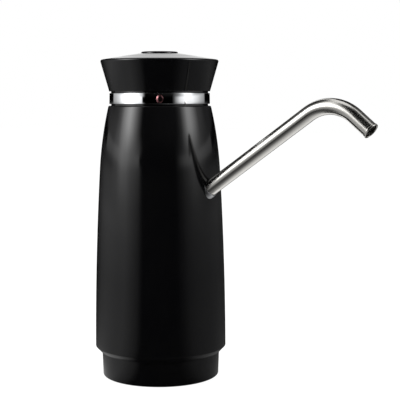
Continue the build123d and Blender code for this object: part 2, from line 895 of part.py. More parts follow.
def spout_tube():
    """Bent tube with a rolled lip at its mouth."""
    tangent = spout_bend_radius * tan(radians(spout_bend_angle / 2))
    fall = radians(spout_slope - spout_bend_angle)
    start = Vector(spout_inset * slope_out, 0, spout_axis_height + spout_inset * slope_up)
    along = Vector(slope_out, 0, slope_up)
    down = Vector(cos(fall), 0, sin(fall))
    corner = start + along * (spout_bend_start - spout_inset + tangent)
    mouth = corner + down * (tangent + spout_end_length)
    path = FilletPolyline(start, corner, mouth, radius=spout_bend_radius)
    section = Plane(origin=start, x_dir=(0, 1, 0), z_dir=along) * Circle(spout_radius)
    tube = sweep(section, path=path)
    lip_frame = Plane(origin=mouth - down * spout_lip_length, x_dir=(0, 1, 0), z_dir=down)
    lip = Cylinder(spout_radius + spout_lip_height, spout_lip_length, align=upright)
    lip = fillet(lip.edges(), spout_lip_height)
    bore_section = Plane(origin=start, x_dir=(0, 1, 0), z_dir=along) * Circle(spout_radius - spout_wall)
    bore = sweep(bore_section, path=path)
    return tube + lip_frame * lip - bore


def socket_screws():
    seat = arm_top + socket_pad_thickness
    return group([small_screw(x, y, seat, socket_screw_length) for x, y in socket_screw_places()])


# Chassis, battery and boards

def chassis_screw_places():
    x = spine_back - chassis_foot_reach / 2
    return [(x, -chassis_screw_spread), (x, chassis_screw_spread)]


def board_screw_places():
    """Board corners as (y, height)."""
    y = board_half_width - board_post_inset
    heights = (board_low + board_post_inset, board_low + board_height - board_post_inset)
    return [(side * y, height) for height in heights for side in (-1, 1)]


def along_x(radius, start, stop, y, height):
    """Cylinder lying along X."""
    return Pos(start, y, height) * (Rot(0, 90, 0) * Cylinder(radius, stop - start, align=upright))


def chassis():
    frame = block(spine_back, spine_front, spine_half_width, deck_level, spine_top)
    frame = frame + block(spine_back - chassis_foot_reach, spine_front, chassis_foot_half_width, deck_level,
                          deck_level + chassis_foot_thickness)
    frame = frame + block(spine_back, arm_front, arm_half_width, arm_top - arm_thickness, arm_top)
    charge_shelf_low = charge_level - shelf_thickness
    for low in (battery_shelf_low, battery_shelf_high, charge_shelf_low):
        frame = frame + block(shelf_back, spine_front, shelf_half_width, low, low + shelf_thickness)
    frame = frame - disc(lead_radius + lead_hole_gap, battery_shelf_high - overrun, charge_level + overrun,
                         battery_x)
    for y, height in board_screw_places():
        post = along_x(board_post_radius, spine_front, spine_front + board_post_height, y, height)
        frame = frame + post - along_x(small_screw_radius + screw_gap, spine_back - overrun,
                                       spine_front + board_post_height + overrun, y, height)
    frame = frame - screw_holes(chassis_screw_places(), screw_radius, deck_level - overrun,
                                deck_level + chassis_foot_thickness + overrun)
    return frame - screw_holes(socket_screw_places(), small_screw_radius, arm_top - arm_thickness - overrun,
                               arm_top + overrun)


def chassis_screws():
    seat = deck_level + chassis_foot_thickness
    return group([large_screw(x, y, seat, chassis_screw_length) for x, y in chassis_screw_places()])


def battery_cell():
    cell = disc(battery_radius, battery_low, battery_top, battery_x)
    cell = fillet(ring_edge(cell, battery_radius, battery_top), battery_cap_height)
    return cell + disc(battery_cap_radius, battery_top, battery_top + battery_cap_height, battery_x)


def battery_contacts():
    """A disc at each end of the cell, the lower one with a tab out to the side for its lead."""
    low = battery_low - battery_contact_thickness
    half_tab = battery_tab_width / 2
    reach = battery_radius + battery_tab_reach
    tab = block(battery_x - half_tab, battery_x + half_tab, reach / 2, low, battery_low, reach / 2)
    lower = disc(battery_contact_radius, low, battery_low, battery_x) + tab
    top = battery_top + battery_cap_height
    return group([lower, disc(battery_contact_radius, top, battery_shelf_high, battery_x)])


def control_board():
    back = board_face - board_thickness
    board = block(back, board_face, board_half_width, board_low, board_low + board_height)
    hole_radius = small_screw_radius + screw_gap
    for y, height in board_screw_places():
        board = board - along_x(hole_radius, back - overrun, board_face + overrun, y, height)
    return board


def control_chips():
    first = board_low + (board_height - (chip_count - 1) * chip_pitch - chip_width) / 2
    return group([
        block(board_face, board_face + chip_thickness, chip_width / 2, first + n * chip_pitch,
              first + n * chip_pitch + chip_width)
        for n in range(chip_count)
    ])


def board_screws():
    screws = []
    for y, height in board_screw_places():
        fixing = Rot(0, 90, 0) * small_screw(0, 0, 0, board_screw_length)
        screws.append(Pos(board_face, y, height) * fixing)
    return group(screws)


def back_wall(half_width, height):
    """How far back a flat piece of this half width reaches, just short of the barrel's wall."""
    inner = barrel_radius(height) - barrel_wall
    return -sqrt(inner ** 2 - half_width ** 2) + loose_gap


def charge_board():
    top = charge_level + board_thickness
    back = back_wall(charge_board_half_width, top)
    return block(back, spine_back, charge_board_half_width, charge_level, top)


def charge_socket():
    """Flat round-ended metal shell round a tongue, open to the back."""
    mouth = back_wall(charge_socket_width / 2, charge_socket_low + charge_socket_height)
    middle = Pos(mouth, 0, charge_port_height)
    hollow_width = charge_socket_width - 2 * charge_socket_wall
    hollow_height = charge_socket_height - 2 * charge_socket_wall
    hollow_depth = charge_socket_depth - charge_tongue_inset
    shell = slot_prism(charge_socket_width, charge_socket_height, charge_socket_depth)
    shell = shell - Pos(-overrun, 0, 0) * slot_prism(hollow_width, hollow_height, hollow_depth + overrun)
    tongue_width = hollow_width - charge_socket_height
    tongue = block(charge_tongue_inset, charge_socket_depth, tongue_width / 2, -charge_tongue_thickness / 2,
                   charge_tongue_thickness / 2)
    return middle * (shell + tongue)


# Leads inside the body

def lead(start, *route):
    """Round lead along straight runs joined by arcs, leaving its first point square to what it meets."""
    path = FilletPolyline(start, *route, radius=lead_bend_radius)
    section = Plane(origin=start, z_dir=path % 0) * Circle(lead_radius)
    return sweep(section, path=path)


def motor_leads():
    """Two leads from the motor's cap, up past the arm and into the face of the board."""
    x = motor_x - motor_lead_offset
    height = board_low + board_height / 2
    first = arm_half_width + motor_lead_clearance
    leads = []
    for y in (first, first + motor_lead_pitch):
        leads.append(lead((x, y, motor_cap_top), (x, y, height), (board_face, y, height)))
    return group(leads)


def battery_leads():
    """One lead up through the shelves, one up from the tab of the lower contact."""
    y = battery_radius + battery_tab_reach / 2
    level = charge_level + board_thickness / 2
    board_side = (battery_x, charge_board_half_width, level)
    side = lead((battery_x, y, battery_low), (battery_x, y, level), board_side)
    straight = disc(lead_radius, battery_shelf_high, charge_level, battery_x)
    return group([side, straight])


def switch_lead():
    """Lead from the top edge of the board, through the deck, to the switch board."""
    x = board_face - board_thickness / 2
    start = (x, 0, board_low + board_height)
    return lead(start, (x, 0, spigot_low), (0, 0, head_low), (0, 0, switch_board_low))


# Band and indicator

indicator_turn = Rot(0, 0, indicator_angle)


def oval_plug(shrink, start, stop):
    """Upright oval rod pointing out through the band."""
    oval = Ellipse(indicator_width / 2 - shrink, indicator_height / 2 - shrink)
    rod = Plane.YZ * extrude(oval, stop - start)
    return indicator_turn * (Pos(start, 0, indicator_level) * rod)


def indicator_window():
    """Hole for the indicator through band and spigot."""
    return oval_plug(-seat_gap, spigot_inner_radius - indicator_reach - overrun, band_radius + overrun)


def chrome_band():
    band = ring(band_radius, barrel_bore_radius, band_low, band_high)
    edges = [ring_edge(band, band_radius, height) for height in (band_low, band_high)]
    return fillet(edges, band_edge_round) - indicator_window()


def indicator_bezel():
    start = barrel_bore_radius
    return oval_plug(0, start, band_radius + indicator_proud) - oval_plug(
        indicator_rim, start - overrun, band_radius + overrun)


def indicator_lens():
    start = spigot_inner_radius - indicator_reach
    return oval_plug(indicator_rim + seat_gap, start, band_radius)


def led_board():
    back = spigot_inner_radius - indicator_reach - led_thickness - led_board_thickness
    low = indicator_level - led_board_width / 2
    return indicator_turn * block(back, back + led_board_thickness, led_board_width / 2, low, head_floor)


def indicator_led():
    face = spigot_inner_radius - indicator_reach
    half = led_width / 2
    low = indicator_level - half
    return indicator_turn * block(face - led_thickness, face, half, low, low + led_width)


# Head

def head_shell():
    flare = (head_corner_radius - head_foot_radius) / head_flare_height
    fall = panel_rise / (head_corner_radius - panel_radius)
    roof = head_corner_height - head_wall
    recess_radius = panel_radius + loose_gap
    ledge_top = panel_edge_height - panel_thickness
    ledge_radius = panel_radius - panel_ledge
    floor_radius = head_foot_radius + flare * head_floor_height - head_wall
    shell = turned(
        (spigot_inner_radius, spigot_low),
        (spigot_outer_radius, spigot_low),
        (spigot_outer_radius, band_high),
        (groove_radius, band_high),
        (groove_radius, head_low),
        (head_foot_radius, head_low),
        (head_corner_radius, head_corner_height),
        (recess_radius, panel_edge_height - fall * loose_gap),
        (recess_radius, ledge_top),
        (ledge_radius, ledge_top),
        (ledge_radius, ledge_top - head_wall),
        (recess_radius, ledge_top - head_wall),
        (head_corner_radius - head_wall - flare * head_wall, roof),
        (floor_radius, head_floor),
        (spigot_inner_radius, head_floor),
    )
    shell = fillet(ring_edge(shell, head_corner_radius, head_corner_height), head_rim_round)
    for x, y in around(head_boss_circle, head_boss_angles):
        shell = shell + disc(head_boss_radius, spigot_low, head_floor, x, y)
    places = around(head_boss_circle, head_boss_angles)
    head_seat = spigot_low - seat_ring_thickness
    shell = shell - screw_holes(places, screw_radius, head_seat, head_seat + head_screw_length)
    deck_seat = head_floor + deck_thickness
    shell = shell - screw_holes(places, screw_radius, deck_seat - deck_screw_length, deck_seat)
    return shell - indicator_window()


def head_deck():
    flare = (head_corner_radius - head_foot_radius) / head_flare_height
    radius = head_foot_radius + flare * head_floor_height - head_wall - loose_gap
    top = head_floor + deck_thickness
    deck = ring(radius, deck_wire_radius, head_floor, top)
    for x, y in around(switch_post_circle, head_boss_angles):
        deck = deck + disc(switch_post_radius, top, switch_board_low, x, y)
    places = around(head_boss_circle, head_boss_angles)
    return deck - screw_holes(places, screw_radius, head_floor - overrun, top + overrun)


def switch_board():
    return disc(switch_board_radius, switch_board_low, switch_low)


def switch_body():
    body = block(-switch_width / 2, switch_width / 2, switch_width / 2, switch_low, switch_top)
    floor = switch_top - switch_plunger_sunk - button_travel - loose_gap
    return body - disc(switch_plunger_radius + seat_gap, floor, switch_top + overrun)


button_flange_top = panel_hole_height - panel_thickness - 2 * loose_gap
button_flange_low = button_flange_top - button_flange_thickness
button_stem_low = switch_top + button_travel + loose_gap


def switch_plunger():
    return disc(switch_plunger_radius, switch_top - switch_plunger_sunk, button_stem_low)


def power_button():
    """Hollow cap with a flange under the panel and a stem on the switch."""
    radius = button_radius
    rim = button_top - button_crown
    outline = [
        Line((0, button_flange_low), (radius + button_flange, button_flange_low)),
        Line((radius + button_flange, button_flange_low), (radius + button_flange, button_flange_top)),
        Line((radius + button_flange, button_flange_top), (radius, button_flange_top)),
        Line((radius, button_flange_top), (radius, rim)),
        ThreePointArc((radius, rim), (radius / 2, rim + 3 * button_crown / 4), (0, button_top)),
        Line((0, button_top), (0, button_flange_low)),
    ]
    cap = turned_face(make_face(outline))
    cap = fillet(ring_edge(cap, radius, rim), button_round)
    cap = cap - disc(radius - button_wall, button_flange_low - overrun, rim - button_wall)
    return cap + disc(button_stem_radius, button_stem_low, rim)


def top_panel():
    hole = button_radius + loose_gap
    seat_radius = panel_radius - panel_ledge
    low = panel_edge_height - panel_thickness
    return turned(
        (hole, panel_hole_height),
        (panel_radius, panel_edge_height),
        (panel_radius, low),
        (seat_radius, low),
        (hole, panel_hole_height - panel_thickness),
    )


def head_screws():
    seat = spigot_low - seat_ring_thickness
    places = around(head_boss_circle, head_boss_angles)
    return group([large_screw(x, y, seat, head_screw_length, -1) for x, y in places])


def deck_screws():
    seat = head_floor + deck_thickness
    places = around(head_boss_circle, head_boss_angles)
    return group([large_screw(x, y, seat, deck_screw_length) for x, y in places])


pieces = (
    body_shell, base_collar, neck_gasket, bulkhead, rim_seal, base_screws,
    intake_nozzle, intake_seal,
    pump_cover, pump_housing, drive_gear, idler_gear, idler_pin, shaft_seal, pump_screws,
    motor_can, motor_end_cap, motor_bushes, motor_magnets, motor_armature, motor_shaft, motor_screws,
    outlet_hose, spout_socket, spout_gland, gland_cap, spout_ferrule, spout_tube, socket_screws,
    chassis, chassis_screws, battery_cell, battery_contacts,
    control_board, control_chips, board_screws, charge_board, charge_socket,
    motor_leads, battery_leads, switch_lead,
    chrome_band, indicator_bezel, indicator_lens, led_board, indicator_led,
    head_shell, head_deck, switch_board, switch_body, switch_plunger, power_button, top_panel,
    head_screws, deck_screws,
)

os.makedirs("parts", exist_ok=True)
for piece in pieces:
    export_step(piece(), f"parts/{piece.__name__}.step")
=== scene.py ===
from math import atan2, ceil, cos, hypot, pi, radians, sin, tan

import bmesh
import bpy
import numpy as np
from mathutils import Matrix, Vector

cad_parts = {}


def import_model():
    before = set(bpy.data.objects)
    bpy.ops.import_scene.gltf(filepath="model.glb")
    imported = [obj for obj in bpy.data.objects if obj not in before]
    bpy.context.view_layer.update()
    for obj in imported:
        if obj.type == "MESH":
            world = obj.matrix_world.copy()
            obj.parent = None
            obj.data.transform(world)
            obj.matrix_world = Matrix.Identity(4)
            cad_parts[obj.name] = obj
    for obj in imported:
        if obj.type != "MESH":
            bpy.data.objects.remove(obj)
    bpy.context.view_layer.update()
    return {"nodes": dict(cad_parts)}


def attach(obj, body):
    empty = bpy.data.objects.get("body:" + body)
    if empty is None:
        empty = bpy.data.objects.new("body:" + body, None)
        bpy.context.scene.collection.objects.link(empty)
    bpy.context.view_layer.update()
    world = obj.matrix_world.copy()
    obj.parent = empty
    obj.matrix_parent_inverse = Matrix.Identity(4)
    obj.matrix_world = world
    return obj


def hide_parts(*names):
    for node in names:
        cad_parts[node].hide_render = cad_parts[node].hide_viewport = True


# Rechargeable pump for the neck of a large water bottle. Sizes are in millimetres, as in the part's
# own model, and are turned to metres where a mesh is made.

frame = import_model()
MM = 0.001


# Sizes shared with the solid model. A pair is a radius and a height unless its name or a
# note says otherwise.

BARREL_FOOT = (40.0, 18.3)
BARREL_BREAK = (36.54, 126.71)
BARREL_TOP = (31.0, 165.0)
BARREL_BULGE = 0.73
BARREL_WALL = 2.4
BARREL_BORE = 28.6
LIP_BORE = 36.3
UNDERSIDE = 14.5
LEDGE = 17.0
SEAT_RING = (20.6, 154.0, 157.0)  # radius, low, high
NECK_TOP = 166.0
NECK_GROOVE = 29.36
PORT_LEVEL = 127.4
PORT_STEPS = ((9.64, 3.9, 5.0), (12.84, 7.1, 0.8))  # width, height and depth of hole and recess
BAND_RADIUS = 30.46
BAND_TAPER = 0.15
BAND_LOW = 166.0
BAND_HIGH = 172.5
HEAD_LOW = 173.5
HEAD_FOOT = 30.5
HEAD_CORNER = (35.9, 192.35)
HEAD_WALL = 2.2
HEAD_FLOOR = 176.6
SPIGOT = (26.0, 28.3, 157.0)  # bore, radius, low
PANEL_EDGE = (23.6, 194.45)
PANEL_HOLE = (11.4, 196.45)
PANEL_GAP = 0.3
PANEL_THICK = 1.8
PANEL_LEDGE = 1.8
BUTTON_RADIUS = 11.1
BUTTON_TOP = 197.6
BUTTON_CROWN = 0.3
BUTTON_HOLLOW = (9.5, 195.7)
BUTTON_FLANGE = (12.8, 192.55, 194.05)  # radius, low, high
BUTTON_STEM = (2.5, 187.4)
COLLAR_BORE = 28.0
COLLAR_SLEEVE = 30.0
COLLAR_SKIRT = (33.1, 35.5)  # inner and outer radius
COLLAR_SEAT = 36.0
COLLAR_FLANGE = 37.3
COLLAR_CORE = 12.0
COLLAR_TOP = 20.0
NECK_STOP = 16.0
RIB_COUNT = 12
RIB_SIZE = (3.3, 1.6, 11.8)
RIB_LEVEL = 6.2
BASE_SCREWS = (31.55, (45, 135, 225, 315))  # radius of their circle, angles
HEAD_SCREWS = (24.0, (10, 130, 250))
SCREW_ROOM = 2.2
GASKET_RADII = (21.6, 29.9)
GASKET_GROOVES = (22.6, 24.0, 25.4, 26.8)  # inner radius of each
GROOVE_WIDTH = 1.0
GROOVE_FLANK = 0.3
GROOVE_DEPTH = 0.6
INDICATOR_ANGLE = -52.4
INDICATOR_LEVEL = 169.0
INDICATOR_HALF = (2.1, 2.55)  # half width, half height
INDICATOR_CORE = 1.6
INDICATOR_LEAN = 0.33
INDICATOR_FOOT = 25.0
WINDOW_GAP = 0.1
WINDOW_REACH = (20.0, 32.0)
BEZEL_WIDTH = 0.72
BEZEL_PROUD = 0.2
BEZEL_FLANK = 0.5
BEZEL_LAND = 0.12
LENS_GAP = 0.11
LENS_SHOULDER = 0.06
LENS_DOME = 0.25
SPOUT_AXIS = 91.2
SPOUT_SLOPE = 33.9
SPOUT_INSET = 28.2
SPOUT_BEND_START = 124.8
SPOUT_BEND_RADIUS = 24.1
SPOUT_BEND_ANGLE = 73.1
SPOUT_END = 12.4
SPOUT_RADIUS = 4.55
SPOUT_WALL = 0.6
SPOUT_HOLE_END = 60.0
SPOUT_LIP = (4.8, 1.2)  # radius, length
LIP_COVER = 0.9
LIP_PROUD = 0.05
FERRULE_REACH = (39.24, 45.24)  # start and stop along the spout
FERRULE_RADIUS = 5.17
FERRULE_GAP = 0.12
PRESS_GAP = 0.02
OVERRUN = 2.0

# Roundings of edges, sides of round pieces, a rounding's step and an edge's least turn in degrees, and
# the least width that a cut leaves

KEEN, CRISP, FINE, SOFT, PLAIN, FULL = 0.05, 0.1, 0.15, 0.2, 0.25, 0.3
RIDGE_ROUND = 0.12
FOOT_ROUND = FERRULE_ROUND = 0.4
BUTTON_ROUND = 0.75
SHOULDER_ROUND = HEAD_ROUND = COLLAR_ROUND = 1.0
LARGE_SIDES, MIDDLE_SIDES, TUBE_SIDES, SMALL_SIDES = 224, 160, 96, 64
TURN_STEP = 12.0
CREASE = 30.0
SLIVER = 0.0005


# Small tools

def linear(hex_colour):
    """sRGB hex colour as linear RGBA."""
    parts = [int(hex_colour[i:i + 2], 16) / 255 for i in (1, 3, 5)]
    return tuple(p / 12.92 if p <= 0.04045 else ((p + 0.055) / 1.055) ** 2.4 for p in parts) + (1.0,)


def per_mm(size):
    """Texture scale that gives features of this size on coordinates in metres."""
    return 1000.0 / size


def feed(tree, node, sockets):
    """Sets or links a node's inputs. A node given as a value stands for its first output."""
    by_identifier = {socket.identifier: socket for socket in node.inputs}
    for key, value in sockets.items():
        socket = by_identifier.get(key) or node.inputs[key]
        if isinstance(value, bpy.types.Node):
            value = value.outputs[0]
        if isinstance(value, bpy.types.NodeSocket):
            tree.links.new(value, socket)
        else:
            socket.default_value = value


def add(tree, kind, sockets=None, **settings):
    """Adds a node with its settings, and feeds its inputs."""
    node = tree.nodes.new(kind)
    for name, value in settings.items():
        setattr(node, name, value)
    feed(tree, node, sockets or {})
    return node


def piece(name, data):
    """Object at the origin for a mesh, a lamp or a camera."""
    thing = bpy.data.objects.new(name, data)
    bpy.context.scene.collection.objects.link(thing)
    return thing


def built(name, points, faces):
    """Piece made of points in metres and faces."""
    mesh = bpy.data.meshes.new(name)
    mesh.from_pydata(points, [], faces)
    return piece(name, mesh)


def baked(thing):
    """Turns an object's live modifiers into plain mesh."""
    bpy.context.view_layer.update()
    graph = bpy.context.evaluated_depsgraph_get()
    mesh = bpy.data.meshes.new_from_object(thing.evaluated_get(graph))
    thing.modifiers.clear()
    thing.data = mesh
    return thing


def creased(thing):
    """Smooth faces with crisp edges where they meet at an angle."""
    thing.data.shade_smooth()
    thing.data.set_sharp_from_angle(angle=radians(CREASE))
    return thing


def new_tree(name, **inputs):
    """Geometry tree with named inputs, each with its socket kind, and one mesh out."""
    tree = bpy.data.node_groups.new(name, "GeometryNodeTree")
    for label, kind in inputs.items():
        tree.interface.new_socket(label, in_out="INPUT", socket_type="NodeSocket" + kind)
    tree.interface.new_socket("Mesh", in_out="OUTPUT", socket_type="NodeSocketGeometry")
    return tree, add(tree, "NodeGroupInput").outputs


def end_tree(tree, mesh, material):
    """Makes real mesh of a tree's instances and gives it its material."""
    real = add(tree, "GeometryNodeRealizeInstances", {"Geometry": mesh})
    done = add(tree, "GeometryNodeSetMaterial", {"Geometry": real, "Material": material})
    add(tree, "NodeGroupOutput", {"Mesh": done})
    return tree


def grown(thing, tree, **values):
    """Runs a tree on a piece with its inputs set, and keeps the plain mesh."""
    step = thing.modifiers.new(tree.name, "NODES")
    step.node_group = tree
    for item in tree.interface.items_tree:
        if item.in_out == "INPUT" and item.name in values:
            step[item.identifier] = values[item.name]
    return baked(thing)


def scattered(name, places):
    """Object whose loose vertices are places in millimetres."""
    return built(name, [Vector(place) * MM for place in places], [])


def ring_places(circle, angles, level):
    """Places round the axis."""
    return [(circle * cos(radians(a)), circle * sin(radians(a)), level) for a in angles]


# Outlines in radius and height

def arc_points(start, middle, end, steps):
    """Points on the arc from start through middle to end."""
    (ax, ay), (bx, by), (cx, cy) = start, middle, end
    d = 2 * (ax * (by - cy) + bx * (cy - ay) + cx * (ay - by))
    a2, b2, c2 = ax * ax + ay * ay, bx * bx + by * by, cx * cx + cy * cy
    ox = (a2 * (by - cy) + b2 * (cy - ay) + c2 * (ay - by)) / d
    oy = (a2 * (cx - bx) + b2 * (ax - cx) + c2 * (bx - ax)) / d
    first = atan2(ay - oy, ax - ox)
    turn = (atan2(cy - oy, cx - ox) - first + pi) % (2 * pi) - pi
    reach = hypot(ax - ox, ay - oy)
    places = [first + turn * i / steps for i in range(steps + 1)]
    return [(ox + reach * cos(p), oy + reach * sin(p)) for p in places], (ox, oy)


def barrel_line(inset):
    """The barrel's two tangent arcs from foot to top, set in by a wall."""
    steps = 28
    foot, turn, top = [(r - inset, z) for r, z in (BARREL_FOOT, BARREL_BREAK, BARREL_TOP)]
    middle = ((foot[0] + turn[0]) / 2 + BARREL_BULGE, (foot[1] + turn[1]) / 2)
    lower, centre = arc_points(foot, middle, turn, steps)
    pull = Vector((centre[0] - turn[0], centre[1] - turn[1])).normalized()
    chord = Vector((top[0] - turn[0], top[1] - turn[1]))
    reach = chord.length_squared / (2 * pull.dot(chord))
    hub = Vector(turn) + pull * reach
    waist = (Vector(turn) + Vector(top)) / 2
    waist = hub + (waist - hub).normalized() * reach
    upper, _ = arc_points(turn, tuple(waist), top, steps)
    return lower + upper[1:]


def rounded(corners, turn_step):
    """Closed outline from (radius, height) or (radius, height, rounding) corners."""
    points = []
    count = len(corners)
    for i, corner in enumerate(corners):
        here = Vector(corner[:2])
        bend = corner[2] if len(corner) > 2 else 0.0
        if not bend:
            points.append(tuple(here))
            continue
        back = (Vector(corners[i - 1][:2]) - here).normalized()
        onward = (Vector(corners[(i + 1) % count][:2]) - here).normalized()
        half = back.angle(onward) / 2
        hub = here + (back + onward).normalized() * (bend / sin(half))
        first = here + back * (bend / tan(half)) - hub
        last = here + onward * (bend / tan(half)) - hub
        sweep = (atan2(last.y, last.x) - atan2(first.y, first.x) + pi) % (2 * pi) - pi
        steps = max(2, ceil(abs(sweep) / radians(turn_step)))
        start = atan2(first.y, first.x)
        turns = [start + sweep * s / steps for s in range(steps + 1)]
        points += [(hub.x + bend * cos(t), hub.y + bend * sin(t)) for t in turns]
    return points


# Meshes

TINY = 1e-9  # metres
ON_AXIS = 1e-7  # metres
ON_LINE = 0.03  # millimetres
SAME_WAY = 0.94  # cosine
CORNERS_AT_ONCE = 20000


def turned(name, outline, sides=LARGE_SIDES):
    """Closed solid of revolution about Z from an outline that runs anticlockwise."""
    count = len(outline)
    line = np.array(outline) * MM
    turn = np.linspace(0, 2 * pi, sides, endpoint=False)
    points = np.empty((sides, count, 3))
    points[..., 0] = np.cos(turn)[:, None] * line[None, :, 0]
    points[..., 1] = np.sin(turn)[:, None] * line[None, :, 0]
    points[..., 2] = line[None, :, 1]
    index = np.arange(sides * count).reshape(sides, count)
    side = np.roll(index, -1, 0)
    quads = np.stack([index, side, np.roll(side, -1, 1), np.roll(index, -1, 1)], -1).reshape(-1, 4)
    index_map = np.arange(sides * count)
    for k in np.flatnonzero(line[:, 0] < TINY):
        index_map[index[:, k]] = index[0, k]
    faces = [list(dict.fromkeys(quad)) for quad in index_map[quads].tolist()]
    faces = [face for face in faces if len(face) > 2]
    used = np.unique([v for face in faces for v in face])
    renumber = {v: i for i, v in enumerate(used.tolist())}
    return built(name, points.reshape(-1, 3)[used].tolist(), [[renumber[v] for v in f] for f in faces])


def pulled(items, field, width=1, kind=float):
    """Array of one field of a mesh's items, a row for each."""
    values = np.empty(len(items) * width, kind)
    items.foreach_get(field, values)
    return values.reshape(-1, width)


def true_normals(thing, outline):
    """Gives a turned piece the normals of its outline, so that gloss runs true past every cut."""
    mesh = thing.data
    mesh.shade_smooth()
    ends = np.array(outline) * MM
    along = np.roll(ends, -1, 0) - ends
    length = np.linalg.norm(along, axis=1)
    out = np.stack([along[:, 1], -along[:, 0]], 1) / length[:, None]
    before = np.roll(out, 1, 0)
    soft = (before * out).sum(1) > cos(radians(CREASE))
    mean = (before + out) / np.linalg.norm(before + out, axis=1)[:, None].clip(TINY)
    first = np.where(soft[:, None], mean, out)
    last = np.where(np.roll(soft, -1)[:, None], np.roll(mean, -1, 0), out)
    loops = len(mesh.loops)
    totals = pulled(mesh.polygons, "loop_total", kind=np.int32)[:, 0]
    face_normal = np.repeat(pulled(mesh.polygons, "normal", 3), totals, axis=0)
    centre = np.repeat(pulled(mesh.polygons, "center", 3), totals, axis=0)
    spot = pulled(mesh.vertices, "co", 3)[pulled(mesh.loops, "vertex_index", kind=np.int32)[:, 0]]
    reach = np.hypot(spot[:, 0], spot[:, 1])
    radial = np.where(reach[:, None] > ON_AXIS, spot[:, :2], centre[:, :2])
    radial = radial / np.linalg.norm(radial, axis=1)[:, None].clip(TINY)
    flat = np.stack([(face_normal[:, :2] * radial).sum(1), face_normal[:, 2]], 1)
    here = np.stack([reach, spot[:, 2]], 1)
    normals = face_normal.copy()
    for block in np.array_split(np.arange(loops), max(1, loops // CORNERS_AT_ONCE)):
        gap = here[block, None, :] - ends[None]
        t = ((gap * along[None]).sum(2) / (length ** 2)[None]).clip(0, 1)
        off = np.linalg.norm(gap - t[..., None] * along[None], axis=2)
        off = np.where(flat[block] @ out.T > SAME_WAY, off, 1.0)
        best = off.argmin(1)
        rows = np.arange(len(block))
        good = off[rows, best] < ON_LINE * MM
        share = t[rows, best][:, None]
        blend = first[best] * (1 - share) + last[best] * share
        blend /= np.linalg.norm(blend, axis=1)[:, None]
        spun = np.column_stack([radial[block] * blend[:, :1], blend[:, 1]])
        normals[block] = np.where(good[:, None], spun, normals[block])
    mesh.normals_split_custom_set(normals.tolist())
    return thing


def prism(name, outline, low, high, place):
    """Closed prism on a flat outline, from low to high along the third axis of its place."""
    count = len(outline)
    points = [place @ Vector((u * MM, v * MM, w * MM)) for w in (low, high) for u, v in outline]
    faces = [list(range(count))[::-1], list(range(count, 2 * count))]
    faces += [[i, (i + 1) % count, count + (i + 1) % count, count + i] for i in range(count)]
    return built(name, points, faces)


def oval(half_width, half_height, sides=48):
    """Flat oval outline."""
    turns = [2 * pi * i / sides for i in range(sides)]
    return [(half_width * cos(t), half_height * sin(t)) for t in turns]


def slot_outline(width, height, sides=32):
    """Flat round-ended slot."""
    reach = (width - height) / 2
    points = oval(height / 2, height / 2, sides)
    return [(u + (reach if i < sides / 4 or i >= 3 * sides / 4 else -reach), v)
            for i, (u, v) in enumerate(points)]


def looking(origin, outward, upward=(0, 0, 1)):
    """Place whose third axis points outward and whose second axis points as far up as it can."""
    w = Vector(outward).normalized()
    u = Vector(upward).cross(w).normalized()
    v = w.cross(u)
    place = Matrix((u, v, w)).transposed().to_4x4()
    place.translation = Vector(origin) * MM
    return place


def cut(thing, *cutters):
    """Cuts closed shapes out of a piece and drops the slivers that a cut leaves."""
    for cutter in cutters:
        step = thing.modifiers.new("cut", "BOOLEAN")
        step.operation = "DIFFERENCE"
        step.solver = "EXACT"
        step.object = cutter
    baked(thing)
    for cutter in cutters:
        bpy.data.objects.remove(cutter)
    work = bmesh.new()
    work.from_mesh(thing.data)
    bmesh.ops.dissolve_degenerate(work, dist=SLIVER * MM, edges=work.edges)
    work.to_mesh(thing.data)
    work.free()


def lathed(name, corners, turn_step=TURN_STEP, sides=LARGE_SIDES, cutters=()):
    """Turned piece from corners to round, with its cuts made and the normals of its outline."""
    outline = rounded(corners, turn_step)
    thing = turned(name, outline, sides)
    if cutters:
        cut(thing, *cutters)
    return true_normals(thing, outline)


def show(thing, node, material, body="body", inside=None):
    """Puts a finished piece in place of a solid, or beside the solids where no node is given."""
    marks = [face.material_index for face in thing.data.polygons]
    thing.data.materials.clear()
    thing.data.materials.append(material)
    if inside:
        thing.data.materials.append(inside)
        thing.data.polygons.foreach_set("material_index", marks)
    if node:
        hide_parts(node)
    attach(thing, body)


# Materials

DRIFT = (0.3, 0.7)


def bare_tree(name):
    """New material with an empty tree."""
    material = bpy.data.materials.new(name)
    material.use_nodes = True
    material.node_tree.nodes.clear()
    return material, material.node_tree


def finish(name, **sockets):
    """New material with its tree, its shader and the place of a point on the piece."""
    material, tree = bare_tree(name)
    shader = add(tree, "ShaderNodeBsdfPrincipled", sockets)
    add(tree, "ShaderNodeOutputMaterial", {"Surface": shader})
    place = add(tree, "ShaderNodeTexCoord").outputs["Object"]
    return material, tree, shader, place


def spread(tree, noise, low, high):
    """Number that goes from low to high as a noise drifts."""
    return add(tree, "ShaderNodeMapRange", {"Value": noise, "From Min": DRIFT[0], "From Max": DRIFT[1],
                                            "To Min": low, "To Max": high})


def clouded(tree, place, drift, tones, span):
    """Noise that drifts over a size, and the colour between two tones that follows it."""
    cloud = add(tree, "ShaderNodeTexNoise", {"Vector": place, "Scale": per_mm(drift), "Detail": 3.0})
    colour = add(tree, "ShaderNodeValToRGB", {"Fac": cloud})
    for mark, position, tone in zip(colour.color_ramp.elements, span, tones):
        mark.position = position
        mark.color = linear(tone)
    return cloud, colour


